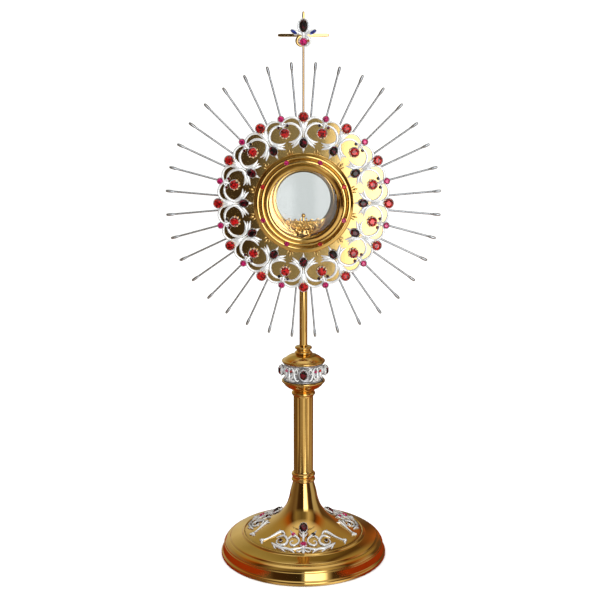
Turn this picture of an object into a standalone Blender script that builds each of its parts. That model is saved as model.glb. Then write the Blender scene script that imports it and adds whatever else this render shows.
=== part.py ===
"""Monstrance: a tall altar vessel with a glazed round capsule in a jewelled ray halo.

Metres, +Z up.  The origin is on the floor under the stem and the front faces -Y.
The head is drawn in its own frame: x right, y up and z forward of the stem's axis,
about the empty at the capsule's centre.
"""

import bmesh
import bpy
from math import atan2, cos, pi, radians, sin
from mathutils import Matrix, Vector

# Driving dimensions, in millimetres
GAP = 0.3
FOOT_RADIUS = 95.0
FOOT_HEIGHT = 86.5
ROD_RADIUS = 2.5
BORE_RADIUS = 3.2
COLUMN_BOTTOM = 97.5
COLUMN_TOP = 184.5
COLUMN_RADIUS = 10.8
COLUMN_BORE = 7.5
FLUTES = 20
KNOP_RADIUS = 24.5
BAND_RADIUS = 22.5
BAND_BOTTOM = 206.8
BAND_TOP = 226.5
TUBE_RADIUS = 4.5
TUBE_BOTTOM = 245.3
TUBE_TOP = 352.0
SOCKET_RADIUS = 6.0
HEAD_HEIGHT = 407.0
DRUM_INNER = 38.0
DRUM_OUTER = 41.0
DRUM_REAR = -24.0
DRUM_FRONT = 13.6
FLANGE_RADIUS = 52.0
FLANGE_BACK = 6.4
HALO_BACK = 8.7
HALO_FRONT = 11.2
HALO_RADIUS = 80.0
RAYS = 36
RAY_TIP = 150.0
PLATE_BACK = 11.5
PLATE_FRONT = 13.0
LOBES = 12
LOBE_BACK = 13.3
LOBE_FRONT = 15.8
BEZEL_RADIUS = 53.0
WINDOW_RADIUS = 36.6
REAR_WINDOW_RADIUS = 29.5
SCREW_CIRCLE = 47.0
HINGE_X = 47.6
HINGE_Y = 26.8
CATCH_X = -49.5
RAIL_BOTTOM = 369.8
JAW_HINGE_Y = 3.8
JAW_HINGE_Z = 378.0
CROSS_TOP = 608.4
CROSS_ARM_HEIGHT = 584.0
CROSS_HALF_SPAN = 27.0
PLANE_OF_CROSS = 0.5 * (HALO_BACK + HALO_FRONT)
ORNAMENTS = 3
ORNAMENT_LIFT = 0.7
ORNAMENT_THICKNESS = 2.0

LARGE = 32
MEDIUM = 20
SMALL = 12
MERGE = 0.00002

GOLD = ("gilt brass", (0.83, 0.60, 0.22), 0.12, 1.0)
SILVER = ("bright silver", (0.86, 0.87, 0.88), 0.2, 1.0)
STEEL = ("bright steel", (0.62, 0.62, 0.64), 0.3, 1.0)
GLASS = ("clear glass", (0.90, 0.94, 0.95), 0.03, 0.0)
GARNET = ("garnet in silver", (0.22, 0.02, 0.05), 0.1, 0.2)
FELT = ("green felt", (0.05, 0.16, 0.09), 0.9, 0.0)

# The foot's surface from its neck to the bead where the rim begins: radius, height
CONE = [(12.0, 86.5), (12.9, 82.5), (14.9, 75.0), (17.0, 65.0), (21.0, 55.0),
        (29.3, 45.0), (41.0, 37.4), (55.0, 31.2), (66.0, 26.8), (69.6, 25.6), (71.5, 24.4)]


def mm(*values):
    """Millimetres to metres: a number for one value, a vector for more."""
    if len(values) == 1:
        return values[0] * 0.001
    return Vector(values) * 0.001


def clear_scene():
    for obj in list(bpy.data.objects):
        bpy.data.objects.remove(obj, do_unlink=True)
    for name in ("monstrance", "cutters"):
        old = bpy.data.collections.get(name)
        if old:
            bpy.data.collections.remove(old)
        bpy.context.scene.collection.children.link(bpy.data.collections.new(name))


def make_material(name, finish):
    _, colour, roughness, metallic = finish
    material = bpy.data.materials.new(name)
    material.use_nodes = True
    shader = material.node_tree.nodes["Principled BSDF"]
    shader.inputs["Base Color"].default_value = (*colour, 1.0)
    shader.inputs["Roughness"].default_value = roughness
    shader.inputs["Metallic"].default_value = metallic
    if finish is GLASS:
        shader.inputs["Transmission Weight"].default_value = 1.0
    return material


def add_part(name, mesh, finish, parent=None, matrix=None):
    """Put a mesh into the model as a named sub-part with its own material."""
    part = bpy.data.objects.new(name, mesh)
    bpy.data.collections["monstrance"].objects.link(part)
    if not mesh.materials:
        mesh.materials.append(None)
    part.material_slots[0].link = "OBJECT"
    part.material_slots[0].material = make_material(name, finish)
    place(part, parent, matrix)
    return part


def place(obj, parent, matrix):
    if parent:
        obj.parent = parent
    if matrix:
        obj.matrix_basis = matrix


def add_empty(name, location, parent=None, turn=None):
    empty = bpy.data.objects.new(name, None)
    bpy.data.collections["monstrance"].objects.link(empty)
    place(empty, parent, Matrix.Translation(location) @ (turn or Matrix()))
    return empty


def hide_helper(obj):
    """A cutter or a joined-in shape: kept, drawn as wire, never rendered."""
    for collection in list(obj.users_collection):
        collection.objects.unlink(obj)
    bpy.data.collections["cutters"].objects.link(obj)
    obj.hide_render = True
    obj.display_type = "WIRE"
    return obj


def combine(part, helper, operation):
    modifier = part.modifiers.new(operation.lower(), "BOOLEAN")
    modifier.operation = operation
    modifier.object = helper
    modifier.solver = "EXACT"
    return part


def cut(part, *helpers):
    for helper in helpers:
        combine(part, hide_helper(helper), "DIFFERENCE")
    return part


def join(part, *helpers):
    for helper in helpers:
        combine(part, hide_helper(helper), "UNION")
    return part


def freeze(part):
    """Turn a part's modifiers into a plain mesh that copies can share."""
    bpy.context.view_layer.update()
    evaluated = part.evaluated_get(bpy.context.evaluated_depsgraph_get())
    mesh = bpy.data.meshes.new_from_object(evaluated)
    bpy.data.objects.remove(part)
    return mesh


def profile_mesh(points, closed):
    bm = bmesh.new()
    verts = [bm.verts.new(mm(radius, 0.0, height)) for radius, height in points]
    pairs = list(zip(verts, verts[1:]))
    if closed:
        pairs.append((verts[-1], verts[0]))
    for first, second in pairs:
        bm.edges.new((first, second))
    mesh = bpy.data.meshes.new("profile")
    bm.to_mesh(mesh)
    bm.free()
    return mesh


def turned(name, points, finish, steps=MEDIUM, closed=True, angle=360.0, parent=None, matrix=None):
    """A part turned about its local Z from a profile that runs down its outer side."""
    part = add_part(name, profile_mesh(points, closed), finish, parent, matrix)
    screw = part.modifiers.new("turn", "SCREW")
    screw.angle = radians(angle)
    screw.steps = steps
    screw.render_steps = steps
    screw.use_merge_vertices = True
    screw.merge_threshold = MERGE
    screw.use_smooth_shade = False
    return part


def ring(inner, outer, bottom, top):
    return [(outer, top), (outer, bottom), (inner, bottom), (inner, top)]


def disc(radius, bottom, top):
    return [(0.0, top), (radius, top), (radius, bottom), (0.0, bottom)]


def rod(name, radius, bottom, top, finish=STEEL, steps=SMALL, parent=None, matrix=None):
    return turned(name, disc(radius, bottom, top), finish, steps, False, 360.0, parent, matrix)


def box(name, low, high, finish=GOLD, parent=None):
    """A block between two corners."""
    mesh = bpy.data.meshes.new(name)
    bm = bmesh.new()
    bmesh.ops.create_cube(bm, size=1.0)
    size = [h - l for l, h in zip(low, high)]
    middle = [(h + l) / 2 for l, h in zip(low, high)]
    bmesh.ops.scale(bm, vec=mm(*size), verts=bm.verts)
    bmesh.ops.translate(bm, vec=mm(*middle), verts=bm.verts)
    bm.to_mesh(mesh)
    bm.free()
    return add_part(name, mesh, finish, parent)


def slab(name, outline, low, high, finish, parent=None, matrix=None):
    """A flat outline in local X and Y made solid between two heights along Z."""
    curve = bpy.data.curves.new(name, "CURVE")
    curve.dimensions = "2D"
    curve.fill_mode = "BOTH"
    curve.extrude = mm((high - low) / 2)
    for loop in outline:
        spline = curve.splines.new("POLY")
        spline.points.add(len(loop) - 1)
        spline.use_cyclic_u = True
        for point, (x, y) in zip(spline.points, loop):
            point.co = (*mm(x, y, 0.0), 1.0)
    guide = bpy.data.objects.new(name + "_guide", curve)
    bpy.context.scene.collection.objects.link(guide)
    bpy.context.view_layer.update()
    evaluated = guide.evaluated_get(bpy.context.evaluated_depsgraph_get())
    mesh = bpy.data.meshes.new_from_object(evaluated)
    bpy.data.objects.remove(guide)
    bm = bmesh.new()
    bm.from_mesh(mesh)
    bmesh.ops.remove_doubles(bm, verts=bm.verts, dist=MERGE)
    bmesh.ops.translate(bm, vec=mm(0.0, 0.0, (low + high) / 2), verts=bm.verts)
    bmesh.ops.recalc_face_normals(bm, faces=bm.faces)
    bm.to_mesh(mesh)
    bm.free()
    mesh.materials.clear()
    return add_part(name, mesh, finish, parent, matrix)


def circle_points(radius, count, centre=(0.0, 0.0), start=0.0):
    steps = [start + 2 * pi * i / count for i in range(count)]
    return [(centre[0] + radius * cos(a), centre[1] + radius * sin(a)) for a in steps]


def arc_points(radius, start, end, count, centre=(0.0, 0.0)):
    steps = [radians(start + (end - start) * i / (count - 1)) for i in range(count)]
    return [(centre[0] + radius * cos(a), centre[1] + radius * sin(a)) for a in steps]


def move(x, y, z, turn=0.0, axis="Z"):
    """A place in millimetres with a turn in degrees about one local axis."""
    return Matrix.Translation(mm(x, y, z)) @ Matrix.Rotation(radians(turn), 4, axis)


def gem(name, radius, bottom, top, steps=6, parent=None, matrix=None):
    """A round stone in its collet, standing on local Z; the smallest have no flat table."""
    girdle = bottom + 0.6 * (top - bottom)
    table = [(0.6 * radius, top)] if radius > 3.0 else []
    outline = [(0.0, top)] + table + [(radius, girdle), (radius, bottom), (0.0, bottom)]
    return turned(name, outline, GARNET, steps, False, 360.0, parent, matrix)


# The foot and the stem


def build_foot():
    inner = [(92.0, 0.4), (92.0, 4.2), (88.4, 12.5), (83.0, 19.0), (54.4, 29.0), (28.3, 42.6),
             (19.0, 53.2), (13.2, 72.0), (9.5, 83.3), (BORE_RADIUS, 83.3), (BORE_RADIUS, FOOT_HEIGHT)]
    rim = [(84.0, 21.2), (88.0, 17.6), (90.4, 14.6), (90.8, 13.1), (93.2, 5.0),
           (FOOT_RADIUS, 2.6), (FOOT_RADIUS, 0.4)]
    turned("foot_shell", CONE + rim + inner, GOLD, LARGE)
    turned("base_plate", disc(91.2, 2.1, 3.9), STEEL, LARGE, False)
    turned("felt_pad", disc(89.0, 0.0, 1.8), FELT, LARGE, False)


def cone_height(radius):
    for (r0, z0), (r1, z1) in zip(CONE, CONE[1:]):
        if r0 <= radius <= r1:
            return z0 + (z1 - z0) * (radius - r0) / (r1 - r0)
    raise ValueError("radius is off the foot's cone")


def ornament_sector(name, inner, outer, half_angle, steps):
    """A strip that lies on the foot's cone between two radii, swept about Z."""
    radii = [inner, (inner + outer) / 2, outer]
    low = [(r, cone_height(r) + ORNAMENT_LIFT) for r in radii]
    high = [(r, z + ORNAMENT_THICKNESS) for r, z in low]
    start = Matrix.Rotation(radians(-90.0 - half_angle), 3, "Z")
    bm = bmesh.new()
    section = bm.faces.new([bm.verts.new(start @ mm(r, 0.0, z)) for r, z in high + low[::-1]])
    bmesh.ops.spin(bm, geom=[section, *section.edges, *section.verts], cent=(0.0, 0.0, 0.0),
                   axis=(0.0, 0.0, 1.0), angle=radians(2 * half_angle), steps=steps)
    bmesh.ops.recalc_face_normals(bm, faces=bm.faces)
    mesh = bpy.data.meshes.new(name)
    bm.to_mesh(mesh)
    bm.free()
    return add_part(name, mesh, SILVER)


def build_foot_ornaments():
    """Openwork mounts around the foot, each spread over a little more than a quarter turn."""
    master = ornament_sector("ornament_master", 44.0, 66.0, 50.0, 12)
    join(master, ornament_sector("ornament_tongue", 29.5, 46.0, 9.0, 2))
    for index, angle in enumerate((-38.0, -17.0, 17.0, 38.0)):
        spot = radians(angle - 90.0)
        hole = rod(f"ornament_hole_{index}", 6.0, 20.0, 50.0, SILVER, 8, None,
                   move(55.0 * cos(spot), 55.0 * sin(spot), 0.0))
        cut(master, hole)
    for index, (radius, size) in enumerate(((34.5, 4.0), (55.5, 3.2))):
        height = cone_height(radius)
        slope = atan2(cone_height(radius - 2.0) - height, 2.0)
        tilted = Matrix.Translation(mm(0.0, -radius, height)) @ Matrix.Rotation(slope, 4, "X")
        join(master, gem(f"ornament_gem_{index}", size, 1.4, 6.0, 6, None, tilted))
    mesh = freeze(master)
    for index in range(ORNAMENTS):
        turn = Matrix.Rotation(2 * pi * index / ORNAMENTS, 4, "Z")
        add_part(f"foot_ornament_{index + 1}", mesh, SILVER, None, turn)


def build_column():
    lower = [(12.0, 97.2), (13.6, 95.8), (13.8, 94.0), (12.4, 92.4), (12.4, 90.6), (13.8, 89.4),
             (13.8, 88.0), (12.2, 86.8), (BORE_RADIUS, 86.8), (BORE_RADIUS, 97.2)]
    turned("lower_collar", lower, GOLD)
    flutes = []
    for index in range(2 * FLUTES):
        radius = COLUMN_RADIUS if index % 2 else COLUMN_RADIUS - 0.7
        angle = pi * index / FLUTES
        flutes.append((radius * cos(angle), radius * sin(angle)))
    bore = circle_points(COLUMN_BORE, FLUTES)
    slab("fluted_column", [flutes, bore], COLUMN_BOTTOM, COLUMN_TOP, GOLD)
    upper = [(11.0, 194.0), (12.4, 193.0), (13.6, 191.4), (13.6, 189.8), (12.4, 188.6), (12.2, 186.8),
             (11.4, 184.8), (BORE_RADIUS, 184.8), (BORE_RADIUS, 194.0)]
    turned("column_collar", upper, GOLD)


def build_knop():
    cup = [(KNOP_RADIUS, 206.5), (KNOP_RADIUS, 204.6), (23.0, 203.0), (22.0, 202.6), (18.0, 198.6),
           (14.0, 196.0), (12.2, 195.6), (11.8, 194.3), (BORE_RADIUS, 194.3), (BORE_RADIUS, 206.5)]
    turned("knop_cup", cup, GOLD)
    turned("knop_band", ring(18.0, BAND_RADIUS, BAND_BOTTOM, BAND_TOP), SILVER)
    dome = [(9.6, 236.5), (14.0, 235.4), (20.0, 232.2), (22.0, 230.0), (KNOP_RADIUS, 229.2),
            (KNOP_RADIUS, 227.4), (23.6, 226.8), (BORE_RADIUS, 226.8), (BORE_RADIUS, 236.5)]
    turned("knop_dome", dome, GOLD)
    middle = 217.5
    for index in range(4):
        facing = Matrix.Rotation(pi / 2 * index, 4, "Z") @ Matrix.Rotation(pi / 2, 4, "X")
        oval = Matrix.Diagonal((0.78, 1.0, 1.0, 1.0))
        outline = [(0.0, 29.2), (3.0, 29.2), (5.2, 27.4), (5.6, 24.2), (5.0, 22.8), (0.0, 22.8)]
        turned(f"knop_setting_{index + 1}", outline, GARNET, SMALL, False, 360.0, None,
               Matrix.Translation(mm(0.0, 0.0, middle)) @ facing @ oval)


def build_stem():
    neck = [(8.6, 245.0), (9.2, 244.0), (9.2, 242.4), (7.6, 240.8), (7.6, 239.4), (9.2, 238.2),
            (9.2, 236.8), (BORE_RADIUS, 236.8), (BORE_RADIUS, 245.0)]
    turned("neck_collar", neck, GOLD)
    turned("upper_tube", ring(2.9, TUBE_RADIUS, TUBE_BOTTOM, TUBE_TOP), GOLD, 16)
    rod("tie_rod", ROD_RADIUS, 74.0, 359.0)
    turned("tie_washer", ring(2.8, 6.5, 81.8, 83.0), STEEL, SMALL)
    slab("tie_nut", [circle_points(5.0, 6), circle_points(2.8, SMALL)], 76.5, 81.5, STEEL)
    socket = [(0.0, 365.6), (SOCKET_RADIUS, 365.6), (SOCKET_RADIUS, 322.0), (4.8, 322.0),
              (4.8, TUBE_TOP + GAP), (2.8, TUBE_TOP + GAP), (2.8, 359.5), (0.0, 359.5)]
    turned("head_socket", socket, GOLD, 16, False)


# The head: everything here is drawn in the head's own frame


def build_halo(head):
    """The ray carrier: a flat ring whose edge bears the straight rays."""
    halo = turned("ray_halo", ring(DRUM_OUTER + GAP, HALO_RADIUS, HALO_BACK, HALO_FRONT), SILVER,
                  LARGE, True, 360.0, head)
    reach = RAY_TIP - HALO_RADIUS
    outline = [(0.0, reach), (1.5, reach - 8.0), (0.8, reach - 14.0), (0.9, -2.0), (0.0, -2.0)]
    middle = (HALO_BACK + HALO_FRONT) / 2
    for index in range(RAYS):
        direction = 2 * pi * (index + 0.5) / RAYS
        matrix = (Matrix.Rotation(direction, 4, "Z") @ Matrix.Translation(mm(0.0, HALO_RADIUS, middle))
                  @ Matrix.Rotation(-pi / 2, 4, "X"))
        join(halo, turned(f"ray_{index + 1:02d}", outline, SILVER, 4, False, 360.0, head, matrix))
    return halo


def build_plate(head):
    """The polished back plate, scalloped with one bow for each lobe of the rosette."""
    outline = []
    for index in range(LOBES):
        for step in range(6):
            share = (step + 0.5) / 6
            angle = 2 * pi * (index + share) / LOBES
            outline.append((90.0 - 9.0 * (2 * share - 1) ** 4, angle))
    edge = [(r * cos(a), r * sin(a)) for r, a in outline]
    hole = circle_points(DRUM_OUTER + GAP, LARGE)
    return slab("rosette_plate", [edge, hole], PLATE_BACK, PLATE_FRONT, GOLD, head)


def lobe_outline():
    """One open heart of the rosette, pointing up: right half by hand, left half mirrored."""
    right = [(2.6, 93.6), (6.5, 95.2), (11.0, 94.4), (15.4, 91.6), (19.2, 86.0), (21.1, 79.8),
             (19.7, 74.6), (12.6, 66.6), (11.6, 62.8), (9.3, 59.9), (4.4, 59.8), (1.2, 63.8),
             (5.0, 65.4), (9.5, 67.0), (14.0, 73.0), (13.6, 81.0), (10.8, 84.8), (7.2, 84.2),
             (4.6, 80.0)]
    top = (0.0, 90.8)
    bottom = (0.0, 75.6)
    left = [(-x, y) for x, y in reversed(right)]
    return [top] + right + [bottom] + left


def crescent_outline(side):
    points = [(4.9, 90.6), (9.0, 91.4), (12.5, 90.0), (17.4, 84.4), (12.6, 87.6), (7.8, 89.4)]
    return [(side * x, y) for x, y in points]


def build_lobes(head):
    """The silver rosette: one openwork casting for each lobe, with its stones."""
    loops = [lobe_outline(), crescent_outline(1), crescent_outline(-1)]
    master = slab("lobe_master", loops, LOBE_BACK, LOBE_FRONT, SILVER, head)
    base = LOBE_BACK + 1.0
    side = radians(15.0)
    stones = [("ruby", 4.8, 20.4, 0.0, 79.0), ("rose", 2.6, 19.0, 0.0, 94.4),
              ("left_garnet", 1.9, 17.6, -5.1, 86.3), ("right_garnet", 1.9, 17.6, 5.1, 86.3)]
    for name, radius, top, x, y in stones:
        steps = 5 if radius < 3.0 else 6
        join(master, gem("lobe_" + name, radius, base, top, steps, head, move(x, y, 0.0)))
    stem = box("junction_stem", (-2.6, 78.4, base), (-0.4, 91.0, LOBE_FRONT - 0.6), SILVER, head)
    lug = box("junction_lug", (-6.2, 63.8, base), (-3.0, 66.6, LOBE_FRONT - 0.6), SILVER, head)
    for piece in (stem, lug):
        piece.matrix_basis = Matrix.Rotation(-side, 4, "Z")
        join(master, piece)
    for name, radius, along in (("junction_ruby", 5.0, 94.0), ("junction_drop", 4.2, 65.2)):
        spot = move(along * sin(side), along * cos(side), 0.0)
        join(master, gem(name, radius, base - 0.6, 20.0, 6, head, spot))
    mesh = freeze(master)
    for index in range(LOBES):
        turn = Matrix.Rotation(-2 * pi * (index + 0.5) / LOBES, 4, "Z")
        add_part(f"filigree_lobe_{index + 1:02d}", mesh, SILVER, head, turn)


def build_bezel(head):
    outline = [(WINDOW_RADIUS, 23.4), (37.6, 24.0), (40.4, 20.6), (43.2, 21.2), (45.6, 18.2),
               (48.7, 19.2), (50.4, 16.8), (BEZEL_RADIUS, 15.6), (BEZEL_RADIUS, PLATE_FRONT + GAP),
               (DRUM_OUTER + GAP, PLATE_FRONT + GAP), (DRUM_OUTER + GAP, 17.7), (WINDOW_RADIUS, 17.7)]
    bezel = turned("front_bezel", outline, GOLD, LARGE, True, 360.0, head)
    turned("front_glass", disc(41.0, 15.6, 17.4), GLASS, LARGE, False, 360.0, head)
    turned("front_glass_ring", ring(38.2, 41.0, 13.9, 15.3), GOLD, LARGE, True, 360.0, head)
    return bezel


def build_drum(head):
    outline = [(DRUM_OUTER, DRUM_FRONT), (DRUM_OUTER, FLANGE_BACK + 2.0),
               (FLANGE_RADIUS, FLANGE_BACK + 2.0), (FLANGE_RADIUS, FLANGE_BACK),
               (DRUM_OUTER, FLANGE_BACK), (DRUM_OUTER, DRUM_REAR), (DRUM_INNER, DRUM_REAR),
               (DRUM_INNER, DRUM_FRONT)]
    return turned("capsule_drum", outline, GOLD, LARGE, True, 360.0, head)


def build_head_screws(head, bezel, plate, halo, drum):
    """Screws from behind that clamp flange, rays and plate to the bezel."""
    for index in range(4):
        angle = pi / 4 + pi / 2 * index
        x, y = SCREW_CIRCLE * cos(angle), SCREW_CIRCLE * sin(angle)
        spot = move(x, y, 0.0)
        outline = [(0.0, 16.0), (1.3, 16.0), (1.3, 6.1), (3.0, 6.1), (3.0, 4.1), (0.0, 4.1)]
        turned(f"head_screw_{index + 1}", outline, STEEL, SMALL, False, 360.0, head, spot)
        for part in (bezel, plate, halo, drum):
            bore = rod(f"{part.name}_bore_{index + 1}", 1.6, 5.0, 16.5, STEEL, SMALL, head, spot)
            cut(part, bore)


def knuckle(name, low, high, finish=GOLD):
    outline = ring(1.4, 2.8, low, high)
    return turned(name, outline, finish, SMALL, True, 360.0, None, move(HINGE_X, HINGE_Y, 0.0))


def build_hinge(drum, door):
    """Three knuckles on an upright pin at the capsule's side."""
    low, high = HEAD_HEIGHT - 12.0, HEAD_HEIGHT + 12.0
    split_low, split_high = HEAD_HEIGHT - 5.0, HEAD_HEIGHT + 5.0
    bore = rod("drum_hinge_bore", 1.4, low - 5.0, high + 5.0, STEEL, SMALL, None,
               move(HINGE_X, HINGE_Y, 0.0))
    arm = box("hinge_arm", (39.0, 15.0, split_low + GAP), (49.4, 23.7, split_high - GAP))
    post = box("hinge_post", (45.8, 20.0, split_low + GAP), (49.4, 25.4, split_high - GAP))
    join(drum, arm, post, knuckle("drum_knuckle", split_low + GAP, split_high - GAP))
    cut(drum, bore)
    sides = (("low", low, split_low), ("high", split_high, high))
    for label, start, end in sides:
        tab = box("tab_" + label, (40.0, 25.4, start), (46.0, 28.2, end))
        join(door, tab, knuckle("knuckle_" + label, start, end))
    again = rod("door_hinge_bore", 1.4, low - 5.0, high + 5.0, STEEL, SMALL, None,
                move(HINGE_X, HINGE_Y, 0.0))
    cut(door, again)
    pin = [(0.0, high + 2.0), (2.2, high + 2.0), (2.2, high + GAP), (1.1, high + GAP),
           (1.1, low - 1.5), (0.0, low - 1.5)]
    turned("hinge_pin", pin, STEEL, SMALL, False, 360.0, None, move(HINGE_X, HINGE_Y, 0.0))


def build_rear_door(hinge):
    """The glazed door at the capsule's back, with its origin on the hinge axis."""
    offset = Matrix.Translation(-hinge.location) @ Matrix.Translation(mm(0.0, 0.0, HEAD_HEIGHT))
    local = offset @ Matrix.Rotation(pi / 2, 4, "X")
    outline = [(33.8, -24.3), (44.0, -24.3), (44.0, -28.3), (43.0, -29.3), (31.0, -29.3),
               (REAR_WINDOW_RADIUS, -28.6), (REAR_WINDOW_RADIUS, -27.7), (33.8, -27.7)]
    door = turned("rear_door_frame", outline, GOLD, LARGE, True, 360.0, hinge, local)
    turned("rear_glass", disc(33.4, -27.4, -25.8), GLASS, LARGE, False, 360.0, hinge, local)
    turned("rear_glass_ring", ring(30.6, 33.4, -25.5, -24.5), GOLD, LARGE, True, 360.0, hinge, local)
    spot = local @ Matrix.Translation(mm(-35.5, 0.0, 0.0))
    knob = [(0.0, -27.0), (1.2, -27.0), (1.2, -30.6), (2.5, -32.4), (2.5, -34.4), (1.4, -36.0),
            (0.0, -36.0)]
    turned("door_knob", knob, GOLD, SMALL, False, 360.0, hinge, spot)
    cut(door, rod("knob_bore", 1.5, -31.0, -26.6 + GAP, GOLD, SMALL, hinge, spot))
    return door


def build_catch(drum):
    """The turn-catch that closes over the door's rim, hanging open on its post."""
    away = Matrix.Translation(mm(CATCH_X, 0.0, HEAD_HEIGHT)) @ Matrix.Rotation(-pi / 2, 4, "X")
    arm = box("catch_arm", (CATCH_X, 12.0, HEAD_HEIGHT - 2.5), (-39.0, 20.0, HEAD_HEIGHT + 2.5))
    post = [(0.0, 29.3), (3.0, 29.3), (3.0, 11.0), (0.0, 11.0)]
    join(drum, arm, turned("catch_post", post, GOLD, SMALL, False, 360.0, None, away))
    cut(drum, rod("catch_bore", 1.5, 21.0, 31.0, GOLD, SMALL, None, away))
    pivot = add_empty("catch_axis", mm(CATCH_X, 29.6, HEAD_HEIGHT), None, Matrix.Rotation(-pi / 2, 4, "X"))
    eye = arc_points(3.0, 180.0, 360.0, 7)
    tip = arc_points(2.0, 0.0, 180.0, 7, (0.0, 8.0))
    hole = circle_points(1.5, SMALL)
    slab("catch_lever", [eye + tip, hole], 0.0, 1.8, GOLD, pivot)
    screw = [(0.0, 33.4), (1.8, 33.4), (2.6, 32.6), (2.6, 31.7), (1.2, 31.7), (1.2, 22.0), (0.0, 22.0)]
    turned("catch_screw", screw, STEEL, SMALL, False, 360.0, None, away)


def build_finial(head):
    """A slim rod on the halo's edge, the cross on it and the jewelled mount before it."""
    bottom = HALO_RADIUS + GAP
    upright = Matrix.Translation(mm(0.0, 0.0, PLANE_OF_CROSS)) @ Matrix.Rotation(-pi / 2, 4, "X")
    foot = CROSS_TOP - HEAD_HEIGHT - 36.0
    rod("cross_rod", 1.0, bottom, foot - GAP, GOLD, SMALL, head, upright)
    top, arm = CROSS_TOP - HEAD_HEIGHT, CROSS_ARM_HEIGHT - HEAD_HEIGHT
    near, far = PLANE_OF_CROSS + 1.2, PLANE_OF_CROSS - 1.2
    cross = box("finial_cross", (-1.35, foot, far), (1.35, top, near), GOLD, head)
    join(cross, box("cross_arms", (-CROSS_HALF_SPAN, arm - 1.6, far + 0.1),
                    (CROSS_HALF_SPAN, arm + 1.6, near - 0.1), GOLD, head))
    leaf = [(0.0, arm + 17.0), (4.6, arm + 13.0), (5.0, arm + 7.0), (13.0, arm + 6.6), (7.0, arm - 2.0),
            (7.6, arm - 8.0), (4.0, arm - 11.6), (-4.0, arm - 11.6), (-7.6, arm - 8.0),
            (-7.0, arm - 2.0), (-13.0, arm + 6.6), (-5.0, arm + 7.0), (-4.6, arm + 13.0)]
    mount = slab("finial_mount", [leaf], near + GAP, near + 2.3, SILVER, head)
    for name, radius, top, along in (("garnet", 4.2, 6.0, 9.6), ("ruby", 3.6, 5.4, -6.8)):
        spot = move(0.0, arm + along, 0.0)
        join(mount, gem("finial_" + name, radius, near + 1.0, near + top, 6, head, spot))


def crescent_plate(name, low, high, notch, base, parent):
    """A crescent that stands upright: horns up, round below, cut level at its base."""
    radius, centre = 24.6, -11.4
    horn = -18.0
    reach = degrees_at(radius, horn - centre)
    outer = arc_points(radius, reach - 360.0, degrees_at(radius, base - centre) - 360.0, 8, (0.0, centre))
    right = list(outer)
    if notch:
        right = right + [(notch, right[-1][1]), (notch, -32.0)]
    left = [(-x, y) for x, y in reversed(right)]
    inner = [(-14.0, -20.2), (0.0, -20.8), (14.0, -20.2)]
    return slab(name, [right + left + inner], low, high, GOLD, parent)


def degrees_at(radius, height):
    """The angle, right of centre, at which a circle reaches a height."""
    return 360.0 + atan2(height, (radius ** 2 - height ** 2) ** 0.5) * 180.0 / pi


def build_lunula(head):
    """The holder of the host: a front crescent on a slide and a rear one hinged to it."""
    rail = [(-6.0, 0.0), (6.0, 0.0), (6.0, 4.7), (2.6, 4.7), (2.6, 3.7), (4.4, 3.7), (4.4, 1.3),
            (-4.4, 1.3), (-4.4, 3.7), (-2.6, 3.7), (-2.6, 4.7), (-6.0, 4.7)]
    lowered = Matrix.Translation(mm(0.0, RAIL_BOTTOM - HEAD_HEIGHT, 0.0))
    slab("lunula_rail", [rail], -22.3, 4.7, GOLD, head, lowered)
    front = crescent_plate("lunula_front", 0.4, 1.6, 6.9, -34.6, head)
    tee = RAIL_BOTTOM
    join(front,
         box("lunula_table", (-7.6, -1.6, 375.0), (7.6, 5.6, 376.2)),
         box("lunula_tee_stem", (-2.2, -1.6, tee + 2.4), (2.2, 5.2, 375.6)),
         box("lunula_tee_foot", (-4.0, -6.0, tee + 1.7), (4.0, 6.0, tee + 3.3)))
    axle = Matrix.Translation(mm(0.0, JAW_HINGE_Y, JAW_HINGE_Z)) @ Matrix.Rotation(pi / 2, 4, "Y")
    for label, low, high in (("left", -6.6, -4.5), ("right", 4.5, 6.6)):
        ear = box("ear_" + label, (low, 2.3, 375.8), (high, 5.4, 379.6))
        join(front, ear)
    cut(front, rod("ear_bore", 1.0, -9.0, 9.0, GOLD, SMALL, None, axle))
    bead = [(0.0, 2.3), (1.9, 1.6), (2.3, 0.0), (1.9, -1.6), (0.9, -2.2), (0.9, -8.5), (0.0, -8.5)]
    stem_place = move(0.0, -14.6, 1.0) @ Matrix.Rotation(-pi / 2, 4, "X")
    join(front, turned("lunula_bead", bead, GOLD, 8, False, 360.0, head, stem_place))
    jaw = crescent_plate("lunula_jaw", -2.2, -1.2, 0.0, -26.8, head)
    barrel = turned("jaw_barrel", ring(1.0, 1.4, -4.1, 4.1), GOLD, SMALL, True, 360.0, None, axle)
    web = box("jaw_web", (-4.1, 1.3, 379.0), (4.1, 2.9, 382.0))
    join(jaw, web, barrel)
    cut(jaw, rod("jaw_bore", 1.0, -9.0, 9.0, GOLD, SMALL, None, axle))
    rod("lunula_pin", 0.7, -7.4, 7.4, STEEL, SMALL, None, axle)


def main():
    clear_scene()
    build_foot()
    build_foot_ornaments()
    build_column()
    build_knop()
    build_stem()
    head = add_empty("head_frame", mm(0.0, 0.0, HEAD_HEIGHT), None, Matrix.Rotation(pi / 2, 4, "X"))
    halo = build_halo(head)
    plate = build_plate(head)
    build_lobes(head)
    bezel = build_bezel(head)
    drum = build_drum(head)
    build_head_screws(head, bezel, plate, halo, drum)
    hinge = add_empty("door_axis", mm(HINGE_X, HINGE_Y, HEAD_HEIGHT))
    bpy.context.view_layer.update()
    door = build_rear_door(hinge)
    build_hinge(drum, door)
    build_catch(drum)
    build_finial(head)
    build_lunula(head)


main()
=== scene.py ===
from math import cos, pi, radians, sin, sqrt

import bpy
from mathutils import Matrix, Vector


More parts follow.
